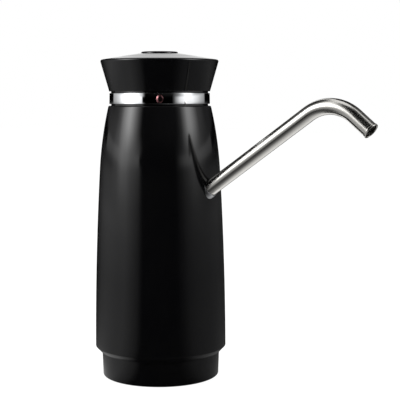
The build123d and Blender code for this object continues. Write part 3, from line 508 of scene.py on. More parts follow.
def mottle(name, tones, drift, gloss, grain, height, **sockets):
    """Finish whose colour and roughness drift, with a fine relief. Sizes are in millimetres."""
    material, tree, shader, place = finish(name, **sockets)
    cloud, colour = clouded(tree, place, drift, tones, DRIFT)
    skin = add(tree, "ShaderNodeTexNoise", {"Vector": place, "Scale": per_mm(grain), "Detail": 2.0})
    relief = add(tree, "ShaderNodeBump", {"Height": skin, "Strength": 1.0, "Distance": height * MM})
    feed(tree, shader, {"Base Color": colour, "Roughness": spread(tree, cloud, *gloss), "Normal": relief})
    return material


# Piano-black ABS from a polished tool: deep black under a clear gloss, with a faint haze from handling.
piano_black_abs = mottle("piano_black_abs", ("#08080a", "#0b0b0c"),
                         drift=22.0, gloss=(0.08, 0.12), grain=2.5, height=0.0004)

# Chrome plate on ABS: a clear mirror, with the slight swell that plating leaves.
chrome_plated_abs = mottle("chrome_plated_abs", ("#e8eaec", "#f0f1f3"),
                           drift=14.0, gloss=(0.04, 0.07), grain=5.0, height=0.0006, Metallic=1.0)

# Rubber seals, compression moulded: dull, slightly bloomed.
moulded_rubber = mottle("moulded_nitrile_rubber", ("#161617", "#222223"),
                        drift=5.0, gloss=(0.62, 0.8), grain=0.6, height=0.01)

# Silicone hose, extruded: milky and soft-looking.
milky_silicone = mottle("extruded_silicone", ("#d8d6cd", "#e4e2da"),
                        drift=9.0, gloss=(0.38, 0.5), grain=1.2, height=0.004,
                        **{"Subsurface Weight": 0.3, "Subsurface Scale": 0.002})

# Natural ABS of the water way: off-white, spark-eroded finish.
white_abs = mottle("spark_eroded_white_abs", ("#dcdbd4", "#e6e5df"),
                   drift=12.0, gloss=(0.42, 0.55), grain=0.5, height=0.006)

# Glass-filled nylon of frame and switch: matt black with a dry, flecked skin.
black_nylon = mottle("glass_filled_nylon", ("#18181a", "#232325"),
                     drift=3.0, gloss=(0.5, 0.68), grain=0.4, height=0.008)

# Zinc-plated steel: cool grey with the mottling of the plating bath.
zinc_steel = mottle("zinc_plated_steel", ("#9a9b9d", "#b4b5b7"),
                    drift=2.5, gloss=(0.28, 0.42), grain=0.5, height=0.003, Metallic=1.0)

# Drawn brass: warm, slightly tarnished.
drawn_brass = mottle("drawn_brass", ("#a98642", "#c4a45c"),
                     drift=3.0, gloss=(0.25, 0.4), grain=0.6, height=0.003, Metallic=1.0)

# Sintered ferrite: charcoal, grainy.
sintered_ferrite = mottle("sintered_ferrite", ("#2b2b2c", "#3a3a3b"),
                          drift=1.5, gloss=(0.7, 0.85), grain=0.4, height=0.012)

# Shrunk PVC sleeve of the cell: even colour with shallow tension ripples.
shrunk_pvc = mottle("shrunk_pvc_sleeve", ("#1d4a80", "#255590"),
                    drift=16.0, gloss=(0.28, 0.4), grain=3.5, height=0.01)

# Solder mask over copper on a glass-cloth board: green, half glossy.
solder_mask = mottle("solder_mask_board", ("#0d4a24", "#146030"),
                     drift=2.2, gloss=(0.3, 0.42), grain=0.8, height=0.01)

# PVC lead sheath, extruded: plain red, a little dull.
lead_sheath = mottle("extruded_pvc_sheath", ("#7d1512", "#962019"),
                     drift=4.0, gloss=(0.4, 0.55), grain=0.8, height=0.006)

# Clear epoxy of the lamp, cast: pale and shiny.
clear_epoxy = mottle("cast_epoxy_lamp", ("#e6e2cf", "#f1eee2"),
                     drift=1.5, gloss=(0.12, 0.22), grain=0.8, height=0.002)

# Smoked acrylic window in front of the lamp: nearly black until lit.
smoked_acrylic = mottle("smoked_acrylic", ("#0d0708", "#170c0d"),
                        drift=1.2, gloss=(0.06, 0.12), grain=0.8, height=0.0005)

# Spout's lip, turned and buffed: a clear bright edge.
turned_stainless = mottle("buffed_stainless_lip", ("#cfccc7", "#dad8d4"),
                          drift=2.0, gloss=(0.12, 0.2), grain=0.6, height=0.0006, Metallic=1.0)

# Bore of the spout, pickled and left as drawn: dull and rough, in a grey much darker than bare stainless that
# paints the shade inside the tube.
pickled_stainless = mottle("pickled_stainless_bore", ("#777572", "#8a8885"),
                           drift=3.0, gloss=(0.5, 0.62), grain=0.6, height=0.002, Metallic=1.0)

# Rose-tinted anodised trim ring: soft metallic pink.
rose_anodised = mottle("rose_anodised_aluminium", ("#85595c", "#966a6d"),
                       drift=1.0, gloss=(0.22, 0.3), grain=0.3, height=0.001, Metallic=1.0)


def drawn_stainless():
    """Polished stainless tube: bright, with fine draw lines that spread light along its length."""
    material, tree, shader, place = finish("polished_drawn_stainless", Metallic=1.0, Anisotropic=0.6)
    line_length, line_pitch = 25.0, 0.6
    mapped = add(tree, "ShaderNodeUVMap", uv_map="UVMap")
    tangent = add(tree, "ShaderNodeTangent", direction_type="UV_MAP", uv_map="UVMap")
    scale = (per_mm(line_length), 2 * pi * SPOUT_RADIUS / line_pitch, 1.0)
    lined = add(tree, "ShaderNodeMapping", {"Vector": mapped, "Scale": scale})
    lines = add(tree, "ShaderNodeTexNoise", {"Vector": lined, "Scale": 1.0, "Detail": 2.0})
    _, colour = clouded(tree, place, 11.0, ("#d2d0cb", "#e0deda"), (0.0, 1.0))
    feed(tree, shader, {"Base Color": colour, "Roughness": spread(tree, lines, 0.17, 0.23),
                        "Tangent": tangent})
    return material


polished_stainless = drawn_stainless()

node_materials = {
    piano_black_abs: ("body_shell", "head_shell", "top_panel", "power_button", "base_collar"),
    chrome_plated_abs: ("chrome_band",),
    polished_stainless: ("spout_tube",),
    rose_anodised: ("indicator_bezel",),
    smoked_acrylic: ("indicator_lens",),
    moulded_rubber: ("neck_gasket", "rim_seal", "intake_seal", "shaft_seal", "spout_gland"),
    milky_silicone: ("outlet_hose",),
    white_abs: ("bulkhead", "intake_nozzle", "pump_cover", "pump_housing", "drive_gear", "idler_gear",
                "spout_socket", "gland_cap"),
    black_nylon: ("chassis", "head_deck", "motor_end_cap", "switch_body", "switch_plunger", "control_chips"),
    solder_mask: ("control_board", "charge_board", "led_board", "switch_board"),
    zinc_steel: ("base_screws", "pump_screws", "motor_screws", "socket_screws", "chassis_screws",
                 "board_screws", "head_screws", "deck_screws", "motor_can", "motor_shaft", "motor_armature",
                 "idler_pin", "charge_socket", "spout_ferrule"),
    drawn_brass: ("motor_bushes", "battery_contacts"),
    sintered_ferrite: ("motor_magnets",),
    shrunk_pvc: ("battery_cell",),
    clear_epoxy: ("indicator_led",),
    lead_sheath: ("motor_leads", "battery_leads", "switch_lead"),
}
for material, names in node_materials.items():
    for name in names:
        solid = frame["nodes"][name].data
        solid.materials.clear()
        solid.materials.append(material)


# Barrel

# The spout's straight part: its direction, and the place on the axis that looks along it.
SPOUT_ALONG = Vector((cos(radians(SPOUT_SLOPE)), 0, sin(radians(SPOUT_SLOPE))))
SPOUT_PLACE = looking((0, 0, SPOUT_AXIS), SPOUT_ALONG, (-SPOUT_ALONG.z, 0, SPOUT_ALONG.x))


def at_level(line, level):
    """Radius of a rising line at a level."""
    return float(np.interp(level, [z for _, z in line], [r for r, _ in line]))


def barrel():
    """Hollow barrel with a ring inside for the head's screws, and holes for the spout and the charge port."""
    outer, inner = barrel_line(0.0), barrel_line(BARREL_WALL)
    ring_radius, ring_low, ring_high = SEAT_RING
    below = [p for p in inner if p[1] < ring_low]
    above = [p for p in inner if p[1] > ring_high]
    corners = [(LIP_BORE, UNDERSIDE, SOFT), (*BARREL_FOOT, FOOT_ROUND)] + outer[1:-1]
    corners += [(*BARREL_TOP, SHOULDER_ROUND), (NECK_GROOVE, BARREL_TOP[1]), (NECK_GROOVE, NECK_TOP, CRISP),
                (BARREL_BORE, NECK_TOP)]
    corners += above[::-1] + [(at_level(inner, ring_high), ring_high), (ring_radius, ring_high, SOFT),
                              (ring_radius, ring_low, SOFT), (at_level(inner, ring_low), ring_low)]
    corners += below[::-1] + [(BARREL_FOOT[0] - BARREL_WALL, LEDGE), (LIP_BORE, LEDGE)]
    hole = FERRULE_RADIUS + PRESS_GAP
    port = looking((-at_level(outer, PORT_LEVEL), 0, PORT_LEVEL), (-1, 0, 0))
    holes = [prism("spout_hole", oval(hole, hole, TUBE_SIDES), SPOUT_INSET, SPOUT_HOLE_END, SPOUT_PLACE)]
    for width, height, depth in PORT_STEPS:
        holes.append(prism("port_step", slot_outline(width, height), -depth, OVERRUN, port))
    return lathed("body_barrel", corners, cutters=holes)


show(barrel(), "body_shell", piano_black_abs)


# Head, panel, button and band

def indicator_place():
    """Place on the axis that looks out through the band at the indicator."""
    turn = radians(INDICATOR_ANGLE)
    return looking((0, 0, INDICATOR_LEVEL), (cos(turn), sin(turn), 0))


def indicator_window():
    """Oval prism through the wall at the indicator."""
    half_width, half_height = (half + WINDOW_GAP for half in INDICATOR_HALF)
    return prism("window", oval(half_width, half_height), *WINDOW_REACH, indicator_place())


def head():
    """Flared head with a ledge for the panel, and a spigot that goes down into the barrel."""
    flare = (HEAD_CORNER[0] - HEAD_FOOT) / (HEAD_CORNER[1] - HEAD_LOW)
    fall = (PANEL_EDGE[1] - HEAD_CORNER[1]) / (HEAD_CORNER[0] - PANEL_EDGE[0])
    recess = PANEL_EDGE[0] + PANEL_GAP
    seat, ledge = PANEL_EDGE[0] - PANEL_LEDGE, PANEL_EDGE[1] - PANEL_THICK
    bore, radius, low = SPIGOT
    return lathed("head_moulding", [
        (bore, low), (radius, low), (radius, BAND_HIGH), (NECK_GROOVE, BAND_HIGH, CRISP),
        (NECK_GROOVE, HEAD_LOW), (HEAD_FOOT, HEAD_LOW, PLAIN), (*HEAD_CORNER, HEAD_ROUND),
        (recess, PANEL_EDGE[1] - fall * PANEL_GAP, FINE), (recess, ledge), (seat, ledge),
        (seat, ledge - HEAD_WALL), (recess, ledge - HEAD_WALL),
        (HEAD_CORNER[0] - HEAD_WALL - flare * HEAD_WALL, HEAD_CORNER[1] - HEAD_WALL),
        (HEAD_FOOT + flare * (HEAD_FLOOR - HEAD_LOW) - HEAD_WALL, HEAD_FLOOR), (bore, HEAD_FLOOR),
    ], turn_step=6.0, cutters=[indicator_window()])


def panel():
    """Domed disc on the head's ledge, with a hole for the button."""
    low = PANEL_EDGE[1] - PANEL_THICK
    return lathed("domed_panel", [
        (PANEL_HOLE[0], PANEL_HOLE[1] - PANEL_THICK), (PANEL_EDGE[0] - PANEL_LEDGE, low),
        (PANEL_EDGE[0], low), (*PANEL_EDGE, SOFT), (*PANEL_HOLE, PLAIN),
    ], turn_step=8.0)


def button():
    """Crowned cap with a flange that keeps it under the panel, and a stem down to the switch."""
    rim = BUTTON_TOP - BUTTON_CROWN
    crown, _ = arc_points((0.0, BUTTON_TOP), (BUTTON_RADIUS / 2, BUTTON_TOP - BUTTON_CROWN / 4),
                          (BUTTON_RADIUS, rim), 12)
    stem, foot = BUTTON_STEM
    hollow, roof = BUTTON_HOLLOW
    flange, low, high = BUTTON_FLANGE
    return lathed("button_cap", [
        (0.0, foot), (stem, foot, SOFT), (stem, roof), (hollow, roof), (hollow, low), (flange, low),
        (flange, high, SOFT), (BUTTON_RADIUS, high), (BUTTON_RADIUS, rim, BUTTON_ROUND),
    ] + crown[-2::-1], turn_step=8.0, sides=MIDDLE_SIDES)


def band():
    """Bright ring between head and barrel, with a window for the indicator."""
    return lathed("bright_band", [
        (BARREL_BORE, BAND_LOW), (BAND_RADIUS, BAND_LOW, PLAIN),
        (BAND_RADIUS - BAND_TAPER, BAND_HIGH, PLAIN), (BARREL_BORE, BAND_HIGH),
    ], turn_step=6.0, cutters=[indicator_window()])


show(head(), "head_shell", piano_black_abs)
show(panel(), "top_panel", piano_black_abs)
show(button(), "power_button", piano_black_abs, "button")
show(band(), "chrome_band", chrome_plated_abs)


# Collar

def collar():
    """Skirted sleeve for the bottle's neck, cored from below, with room for the screws' heads."""
    inner, outer = COLLAR_SKIRT
    rooms = [prism("head_room", oval(SCREW_ROOM, SCREW_ROOM, 32), -OVERRUN / 2, COLLAR_CORE,
                   looking(spot, (0, 0, 1), (0, 1, 0)))
             for spot in ring_places(*BASE_SCREWS, 0.0)]
    return lathed("neck_collar", [
        (COLLAR_BORE, 0.0, FULL), (COLLAR_SLEEVE, 0.0, FULL), (COLLAR_SLEEVE, COLLAR_CORE),
        (inner, COLLAR_CORE), (inner, 0.0, FULL), (outer, 0.0, COLLAR_ROUND), (COLLAR_SEAT, UNDERSIDE),
        (COLLAR_SEAT, LEDGE), (COLLAR_FLANGE, LEDGE), (COLLAR_FLANGE, COLLAR_TOP),
        (COLLAR_SLEEVE, COLLAR_TOP), (COLLAR_SLEEVE, NECK_STOP), (COLLAR_BORE, NECK_STOP),
    ], cutters=rooms)


def rib_tree(material):
    """Tree that stands plain ribs across a round groove."""
    tree, given = new_tree("collar_ribs", Start="Geometry", Count="Int", Circle="Float", Size="Vector")
    spots = add(tree, "GeometryNodeMeshCircle", {"Vertices": given["Count"], "Radius": given["Circle"]})
    spot = add(tree, "GeometryNodeInputPosition")
    aim = add(tree, "FunctionNodeAlignRotationToVector", {"Vector": spot}, axis="X", pivot_axis="Z")
    rib = add(tree, "GeometryNodeMeshCube", {"Size": given["Size"]})
    stood = add(tree, "GeometryNodeInstanceOnPoints", {"Points": spots, "Instance": rib, "Rotation": aim})
    return end_tree(tree, stood, material)


def collar_ribs():
    """Ribs between the collar's sleeve and its skirt."""
    thing = grown(scattered("collar_ribs", [(0, 0, 0)]), rib_tree(piano_black_abs), Count=RIB_COUNT,
                  Circle=BASE_SCREWS[0] * MM, Size=tuple(size * MM for size in RIB_SIZE))
    thing.data.transform(Matrix.Translation((0, 0, RIB_LEVEL * MM)))
    return creased(thing)


def gasket():
    """Flat ring with grooves in it, whose ridges bed on the bottle's rim."""
    bore, edge = GASKET_RADII
    roof = NECK_STOP + GROOVE_DEPTH
    corners = [(bore, NECK_STOP, SOFT)]
    for start in GASKET_GROOVES:
        stop = start + GROOVE_WIDTH
        corners += [(start, NECK_STOP, RIDGE_ROUND), (start + GROOVE_FLANK, roof, CRISP),
                    (stop - GROOVE_FLANK, roof, CRISP), (stop, NECK_STOP, RIDGE_ROUND)]
    corners += [(edge, NECK_STOP), (edge, COLLAR_TOP), (bore, COLLAR_TOP, SOFT)]
    return lathed("ridged_gasket", corners, sides=MIDDLE_SIDES)


show(collar(), "base_collar", piano_black_abs)
show(collar_ribs(), None, piano_black_abs)
show(gasket(), "neck_gasket", moulded_rubber)


# Indicator

def set_in_band(thing):
    """Stretches a round piece to the indicator's oval, with its core to one side, and sets it in the band."""
    for spot in thing.data.vertices:
        if hypot(spot.co.x, spot.co.y) < INDICATOR_CORE * MM:
            spot.co.x += INDICATOR_LEAN * MM
    stretch = Matrix.Diagonal((1.0, INDICATOR_HALF[1] / INDICATOR_HALF[0], 1.0, 1.0))
    thing.data.transform(indicator_place() @ stretch)
    return creased(thing)


def bezel():
    """Trim ring with a sloping outer flank, broader on one side."""
    outer, inner, face = INDICATOR_HALF[0], INDICATOR_HALF[0] - BEZEL_WIDTH, BAND_RADIUS + BEZEL_PROUD
    outline = rounded([
        (inner, INDICATOR_FOOT), (outer, INDICATOR_FOOT), (outer, face - BEZEL_FLANK, RIDGE_ROUND),
        (inner + BEZEL_LAND, face, CRISP), (inner, face, KEEN),
    ], turn_step=10.0)
    return set_in_band(turned("rose_bezel", outline, SMALL_SIDES))


def lens():
    """Domed window inside the ring."""
    edge, face = INDICATOR_HALF[0] - BEZEL_WIDTH - LENS_GAP, BAND_RADIUS
    dome, _ = arc_points((0.0, face), (edge / 2, face - LENS_SHOULDER), (edge, face - LENS_DOME), 8)
    outline = [(0.0, INDICATOR_FOOT), (edge, INDICATOR_FOOT)] + dome[::-1]
    return set_in_band(turned("domed_lens", outline, SMALL_SIDES))


show(bezel(), "indicator_bezel", rose_anodised)
show(lens(), "indicator_lens", smoked_acrylic)


# Spout

def tube_tree(material):
    """Tree that rounds a line's corner and sweeps a tube along it, mapped by length and turn."""
    tree, given = new_tree("bent_tube", Line="Geometry", Tube_radius="Float", Bend_radius="Float",
                           Bend_steps="Int", Sides="Int")
    line = add(tree, "GeometryNodeMeshToCurve", {"Mesh": given["Line"]})
    bent = add(tree, "GeometryNodeFilletCurve", {"Curve": line, "Count": given["Bend_steps"],
                                                 "Radius": given["Bend_radius"]}, mode="POLY")
    ring = add(tree, "GeometryNodeCurvePrimitiveCircle", {"Radius": given["Tube_radius"],
                                                          "Resolution": given["Sides"]})
    param = add(tree, "GeometryNodeSplineParameter").outputs
    length = add(tree, "GeometryNodeCaptureAttribute", {"Geometry": bent})
    length.capture_items.new("FLOAT", "Length")
    feed(tree, length, {"Length": param["Length"]})
    turn = add(tree, "GeometryNodeCaptureAttribute", {"Geometry": ring})
    turn.capture_items.new("FLOAT", "Turn")
    feed(tree, turn, {"Turn": param["Factor"]})
    tube = add(tree, "GeometryNodeCurveToMesh", {"Curve": length, "Profile Curve": turn})
    flat = add(tree, "ShaderNodeCombineXYZ", {"X": length.outputs["Length"], "Y": turn.outputs["Turn"]})
    mapped = add(tree, "GeometryNodeStoreNamedAttribute", {"Geometry": tube, "Name": "UVMap", "Value": flat},
                 data_type="FLOAT2", domain="CORNER")
    return end_tree(tree, mapped, material)


def spout():
    """Bent tube and the rolled lip at its mouth."""
    tangent = SPOUT_BEND_RADIUS * tan(radians(SPOUT_BEND_ANGLE / 2))
    fall = radians(SPOUT_SLOPE - SPOUT_BEND_ANGLE)
    down = Vector((cos(fall), 0, sin(fall)))
    foot = Vector((0, 0, SPOUT_AXIS)) + SPOUT_ALONG * SPOUT_INSET
    corner = foot + SPOUT_ALONG * (SPOUT_BEND_START - SPOUT_INSET + tangent)
    mouth = corner + down * (tangent + SPOUT_END)
    line = bpy.data.meshes.new("spout_line")
    line.from_pydata([foot * MM, corner * MM, (mouth - down * LIP_COVER) * MM], [(0, 1), (1, 2)], [])
    tube = grown(piece("bent_spout", line), tube_tree(polished_stainless), Tube_radius=SPOUT_RADIUS * MM,
                 Bend_radius=SPOUT_BEND_RADIUS * MM, Bend_steps=64, Sides=TUBE_SIDES)
    # The inner wall takes the bore's finish, whose dark grey is painted shade.
    tube.data.materials.append(pickled_stainless)
    wall = tube.modifiers.new("wall", "SOLIDIFY")
    wall.thickness = SPOUT_WALL * MM
    wall.offset = -1.0
    wall.material_offset = 1
    creased(baked(tube))
    bore = SPOUT_RADIUS - SPOUT_WALL - LIP_PROUD
    radius, length = SPOUT_LIP
    lip = lathed("rolled_lip", [(bore, -length), (radius, -length, PLAIN), (radius, 0.0, PLAIN),
                                (bore, 0.0, SOFT)], turn_step=10.0, sides=TUBE_SIDES)
    lip.data.transform(looking(mouth, down))
    return tube, lip


spout_tube, spout_lip = spout()
show(spout_tube, "spout_tube", polished_stainless, "spout", pickled_stainless)
show(spout_lip, None, turned_stainless, "spout")


def spout_ferrule():
    """Guide ring pressed into the barrel, which shows below the tube where it comes out."""
    start, stop = FERRULE_REACH
    bore = SPOUT_RADIUS + FERRULE_GAP
    thing = lathed("guide_ferrule", [(bore, start), (FERRULE_RADIUS, start),
                                     (FERRULE_RADIUS, stop, FERRULE_ROUND), (bore, stop, FINE)],
                   turn_step=10.0, sides=TUBE_SIDES)
    thing.data.transform(SPOUT_PLACE)
    return thing


show(spout_ferrule(), "spout_ferrule", zinc_steel)


# Screws

def screw_tree(material):
    """Tree that sets a pan-head screw with a cross recess and a helical thread on each vertex.

    The shank is a radius, and the bare numbers are shares of the shank, the head's radius or its height.
    """
    tree, given = new_tree("pan_screw", Seats="Geometry", Aim="Vector", Shank="Float", Length="Float",
                           Head="Float", Height="Float", Pitch="Float")

    def times(a, b, operation="MULTIPLY"):
        """Product, or another operation, of two numbers."""
        return add(tree, "ShaderNodeMath", {0: a, 1: b}, operation=operation)

    def lifted(mesh, level):
        """Mesh moved up to a level."""
        place = add(tree, "ShaderNodeCombineXYZ", {"Z": level})
        return add(tree, "GeometryNodeTransform", {"Geometry": mesh, "Translation": place})

    core = times(given["Shank"], 0.78)
    shank = add(tree, "GeometryNodeMeshCylinder", {"Vertices": 20, "Radius": core, "Depth": given["Length"]})
    rounds = times(given["Length"], given["Pitch"], "DIVIDE")
    helix = add(tree, "GeometryNodeCurveSpiral", {"Resolution": 14, "Rotations": rounds, "Start Radius": core,
                                                  "End Radius": core, "Height": given["Length"]})
    depth = times(given["Shank"], 0.22)
    tooth = add(tree, "GeometryNodeCurvePrimitiveCircle", {"Resolution": 4, "Radius": depth})
    thread = add(tree, "GeometryNodeCurveToMesh", {"Curve": helix, "Profile Curve": tooth, "Fill Caps": True})
    washer = add(tree, "GeometryNodeMeshCylinder", {"Vertices": 40, "Radius": given["Head"],
                                                    "Depth": times(given["Height"], 0.5)})
    pan = add(tree, "GeometryNodeMeshCone", {"Vertices": 40, "Radius Top": times(given["Head"], 0.8),
                                             "Radius Bottom": times(given["Head"], 0.98),
                                             "Depth": given["Height"]})
    arm = add(tree, "ShaderNodeCombineXYZ", {"X": times(given["Head"], 1.2), "Y": times(given["Head"], 0.25),
                                             "Z": times(given["Height"], 1.2)})
    bar = add(tree, "GeometryNodeMeshCube", {"Size": arm})
    cross = add(tree, "GeometryNodeTransform", {"Geometry": bar, "Rotation": (0.0, 0.0, pi / 2),
                                                "Scale": (1.0, 1.0, 0.95)})
    recess = add(tree, "GeometryNodeMeshBoolean", {"Mesh 1": pan, "Mesh 2": lifted(bar, given["Height"])},
                 operation="DIFFERENCE")
    feed(tree, recess, {"Mesh 2": lifted(cross, given["Height"])})
    whole = add(tree, "GeometryNodeJoinGeometry", {"Geometry": recess})
    for mesh, level in ((washer, times(given["Height"], 0.25)), (shank, times(given["Length"], -0.5)),
                        (thread, times(given["Length"], -1.0))):
        feed(tree, whole, {"Geometry": lifted(mesh, level)})
    aim = add(tree, "FunctionNodeEulerToRotation", {"Euler": given["Aim"]})
    set_out = add(tree, "GeometryNodeInstanceOnPoints", {"Points": given["Seats"], "Instance": whole,
                                                         "Rotation": aim})
    return end_tree(tree, set_out, material)


# Sizes: shank radius, head radius, head height and pitch. Groups: size, length, aim and seats.
LARGE, SMALL = (1.1, 2.1, 1.5, 0.9), (0.9, 1.7, 1.2, 0.75)
HEAD_UP, HEAD_DOWN, HEAD_FORWARD = (0.0, 0.0, 0.0), (pi, 0.0, 0.0), (0.0, pi / 2, 0.0)
screw_groups = {
    "base_screws": (LARGE, 17.0, HEAD_DOWN, ring_places(*BASE_SCREWS, COLLAR_CORE)),
    "pump_screws": (LARGE, 11.0, HEAD_DOWN, [(x, y, 35.9) for x in (-4.4, 23.4) for y in (-12.9, 12.9)]),
    "motor_screws": (SMALL, 11.4, HEAD_DOWN, [(x, 5.4, 39.6) for x in (-2.7, 14.3)]),
    "socket_screws": (SMALL, 5.4, HEAD_UP, [(7.4, y, 93.1) for y in (-4.7, 4.7)]),
    "chassis_screws": (LARGE, 5.4, HEAD_UP, [(-15.0, y, 37.4) for y in (-6.0, 6.0)]),
    "board_screws": (SMALL, 4.4, HEAD_FORWARD,
                     [(-6.0, y, z) for y in (-10.0, 10.0) for z in (112.1, 140.1)]),
    "head_screws": (LARGE, 9.0, HEAD_DOWN, ring_places(*HEAD_SCREWS, SEAT_RING[1])),
    "deck_screws": (LARGE, 8.0, HEAD_UP, ring_places(*HEAD_SCREWS, 178.6)),
}
pan_screw = screw_tree(zinc_steel)
for node, ((shank, head_radius, head_height, pitch), length, aim, seats) in screw_groups.items():
    screws = grown(scattered("threaded_" + node, seats), pan_screw, Aim=aim, Shank=shank * MM,
                   Length=length * MM, Head=head_radius * MM, Height=head_height * MM, Pitch=pitch * MM)
    show(creased(screws), node, zinc_steel)


# Camera. From here on lengths are in metres.

VIEW_SIDE = radians(125.51)
VIEW_DROP = radians(5.41)
VIEW_ROLL = radians(-0.07)
VIEW_PLACE = (0.4005, -0.5194, 0.1695)


def camera():
    """Camera at the photograph's place and angle."""
    data = bpy.data.cameras.new("camera")
    data.sensor_width = 36.0
    data.sensor_fit = "HORIZONTAL"
    data.lens = 96.9
    data.clip_start = 0.01
    thing = piece("camera", data)
    ahead = Vector((cos(VIEW_SIDE) * cos(VIEW_DROP), sin(VIEW_SIDE) * cos(VIEW_DROP), -sin(VIEW_DROP)))
    turn = ahead.to_track_quat("-Z", "Y").to_matrix() @ Matrix.Rotation(VIEW_ROLL, 3, "Z")
    thing.matrix_world = Matrix.Translation(VIEW_PLACE) @ turn.to_4x4()
    bpy.context.scene.camera = thing


camera()


# Studio

LAMP_AIM = Vector((0, 0, 0.12))


def studio_place(side, height, distance):
    """Point round the object: degrees to the right of the camera, degrees up, metres away."""
    plan, rise = VIEW_SIDE + pi + radians(side), radians(height)
    return Vector((cos(plan) * cos(rise), sin(plan) * cos(rise), sin(rise))) * distance


def softbox(name, side, height, distance, width, tall, radiance):
    """Area lamp aimed at the barrel."""
    data = bpy.data.lights.new(name, "AREA")
    data.shape = "RECTANGLE"
    data.size, data.size_y = width, tall
    data.energy = radiance * pi * width * tall
    thing = piece(name, data)
    spot = LAMP_AIM + studio_place(side, height, distance)
    turn = (LAMP_AIM - spot).to_track_quat("-Z", "Y")
    thing.matrix_world = Matrix.Translation(spot) @ turn.to_matrix().to_4x4()
    thing.visible_glossy = False


softbox("left_softbox", side=-76, height=30, distance=0.85, width=0.42, tall=0.42, radiance=5.5)
softbox("right_softbox", side=70, height=30, distance=0.85, width=0.3, tall=0.42, radiance=5.0)
softbox("top_softbox", side=180, height=78, distance=0.9, width=0.6, tall=0.6, radiance=1.2)


def grey_ramp(tree, place, stops):
    """Ramp of greys from (place, level) stops."""
    node = add(tree, "ShaderNodeValToRGB", {"Fac": place})
    marks = node.color_ramp.elements
    marks[0].position, marks[1].position = stops[0][0], stops[-1][0]
    for where, _ in stops[1:-1]:
        marks.new(where)
    for mark, (_, level) in zip(marks, stops):
        mark.color = (level, level, level, 1.0)
    return node


def round_ramp(tree, place, stops):
    """Ramp of greys round the object from (degrees to the right of the camera, level) stops."""
    faced = add(tree, "ShaderNodeMapping", {"Vector": place, "Rotation": (0.0, 0.0, -VIEW_SIDE - pi)})
    turn = add(tree, "ShaderNodeTexGradient", {"Vector": faced}, gradient_type="RADIAL")
    return grey_ramp(tree, turn.outputs["Fac"], [(0.5 + side / 360, level) for side, level in stops])


# Brightness of the tent's panels at degrees to the right of the camera: low, halfway up, high, and in
# the narrow zone that the bright band reflects.
LOW_PANELS = ((-171, 0.01), (-150, 0.03), (-133, 0.18), (-118, 0.45), (-104, 0.72), (-90, 0.9), (-62, 1.0),
              (-52, 0.76), (-37, 0.34), (-33, 0.14), (-28, 0.01), (30, 0.005), (42, 0.12), (50, 0.24),
              (62, 0.34), (80, 0.38), (105, 0.33), (122, 0.25), (140, 0.12), (171, 0.03))
MID_PANELS = ((-171, 0.0), (-138, 0.02), (-123, 0.07), (-102, 0.16), (-86, 0.42), (-74, 1.0), (-64, 0.95),
              (-55, 0.62), (-37, 0.28), (-33, 0.06), (-30, 0.0), (30, 0.0), (42, 0.07), (54, 0.22),
              (66, 0.42), (74, 0.4), (84, 0.22), (100, 0.09), (120, 0.04), (138, 0.01), (171, 0.0))
HIGH_PANELS = ((-155, 0.01), (-117, 0.03), (-97, 0.09), (-88, 0.22), (-84, 0.38), (-79, 0.7), (-75, 0.86),
               (-71, 1.12), (-63, 1.38), (-56, 0.96), (-49, 0.5), (-42, 0.18), (-38, 0.07), (-35, 0.0),
               (36, 0.01), (41, 0.035), (47, 0.1), (54, 0.41), (62, 0.89), (69, 0.89), (77, 0.58), (84, 0.31),
               (90, 0.14), (113, 0.03), (155, 0.01))
BAND_PANELS = ((-127, 0.0), (-124, 0.15), (-112, 0.21), (-100, 0.31), (-86, 0.6), (-74, 1.0), (-64, 0.95),
               (-52, 0.6), (-37.5, 0.42), (-36, 0.0), (30, 0.0), (34, 0.03), (41, 0.17), (48, 0.34),
               (60, 0.48), (80, 0.45), (104, 0.21), (121, 0.11), (124, 0.0))
# Share of each set of panels, and brightness of them all, at shares of the tent's height.
PANEL_SHARES = ((MID_PANELS, ((0.08, 0), (0.16, 1))),
                (HIGH_PANELS, ((0.211, 0), (0.3, 1))),
                (BAND_PANELS, ((0.179, 0), (0.189, 1), (0.217, 1), (0.227, 0))))
PANEL_LEVELS = ((0.0, 0.087), (0.06, 0.115), (0.11, 0.163), (0.15, 0.28), (0.19, 0.46), (0.24, 0.62),
                (0.32, 0.92), (0.37, 1.0), (0.47, 1.0), (0.61, 0.38), (0.9, 0.19))
TENT_RADIUS = 0.5
TENT_HEIGHT = 0.9
TENT_FLOOR = (0.03, 0.0004)  # inner radius, level
TENT_ROOF_HOLE = 0.26
TENT_OPENING = 171
TENT_STRENGTH = 5.2
CARD_PANELS = ((-60, 0.0), (-40, 0.03), (-15, 0.08), (5, 0.15), (30, 0.42), (75, 0.8), (105, 0.95),
               (168, 1.0))
CARD_SIDES = (-60, 168)
CARD_RADII = (0.25, 0.05)
CARD_LEVEL = 0.0006
FLOOR_HALF = 4.0
FLOOR_LEVEL = -0.00005


def studio_strip(name, sides, steps, rows):
    """Strip round the object from one side to another, through rows of (metres away, metres up)."""
    points, faces = [], []
    for i in range(steps + 1):
        side = sides[0] + (sides[1] - sides[0]) * i / steps
        points += [studio_place(side, 0, reach) + Vector((0, 0, level)) for reach, level in rows]
        for k in range(len(rows) - 1) if i else ():
            here, last = len(rows) * i + k, len(rows) * (i - 1) + k
            faces.append((last, here, here + 1, last + 1))
    return built(name, points, faces)


def only_reflected(thing, material):
    """Gives a studio piece its material and hides it from the camera, from shadows and from matt surfaces."""
    thing.data.materials.append(material)
    thing.visible_camera = thing.visible_shadow = thing.visible_diffuse = False


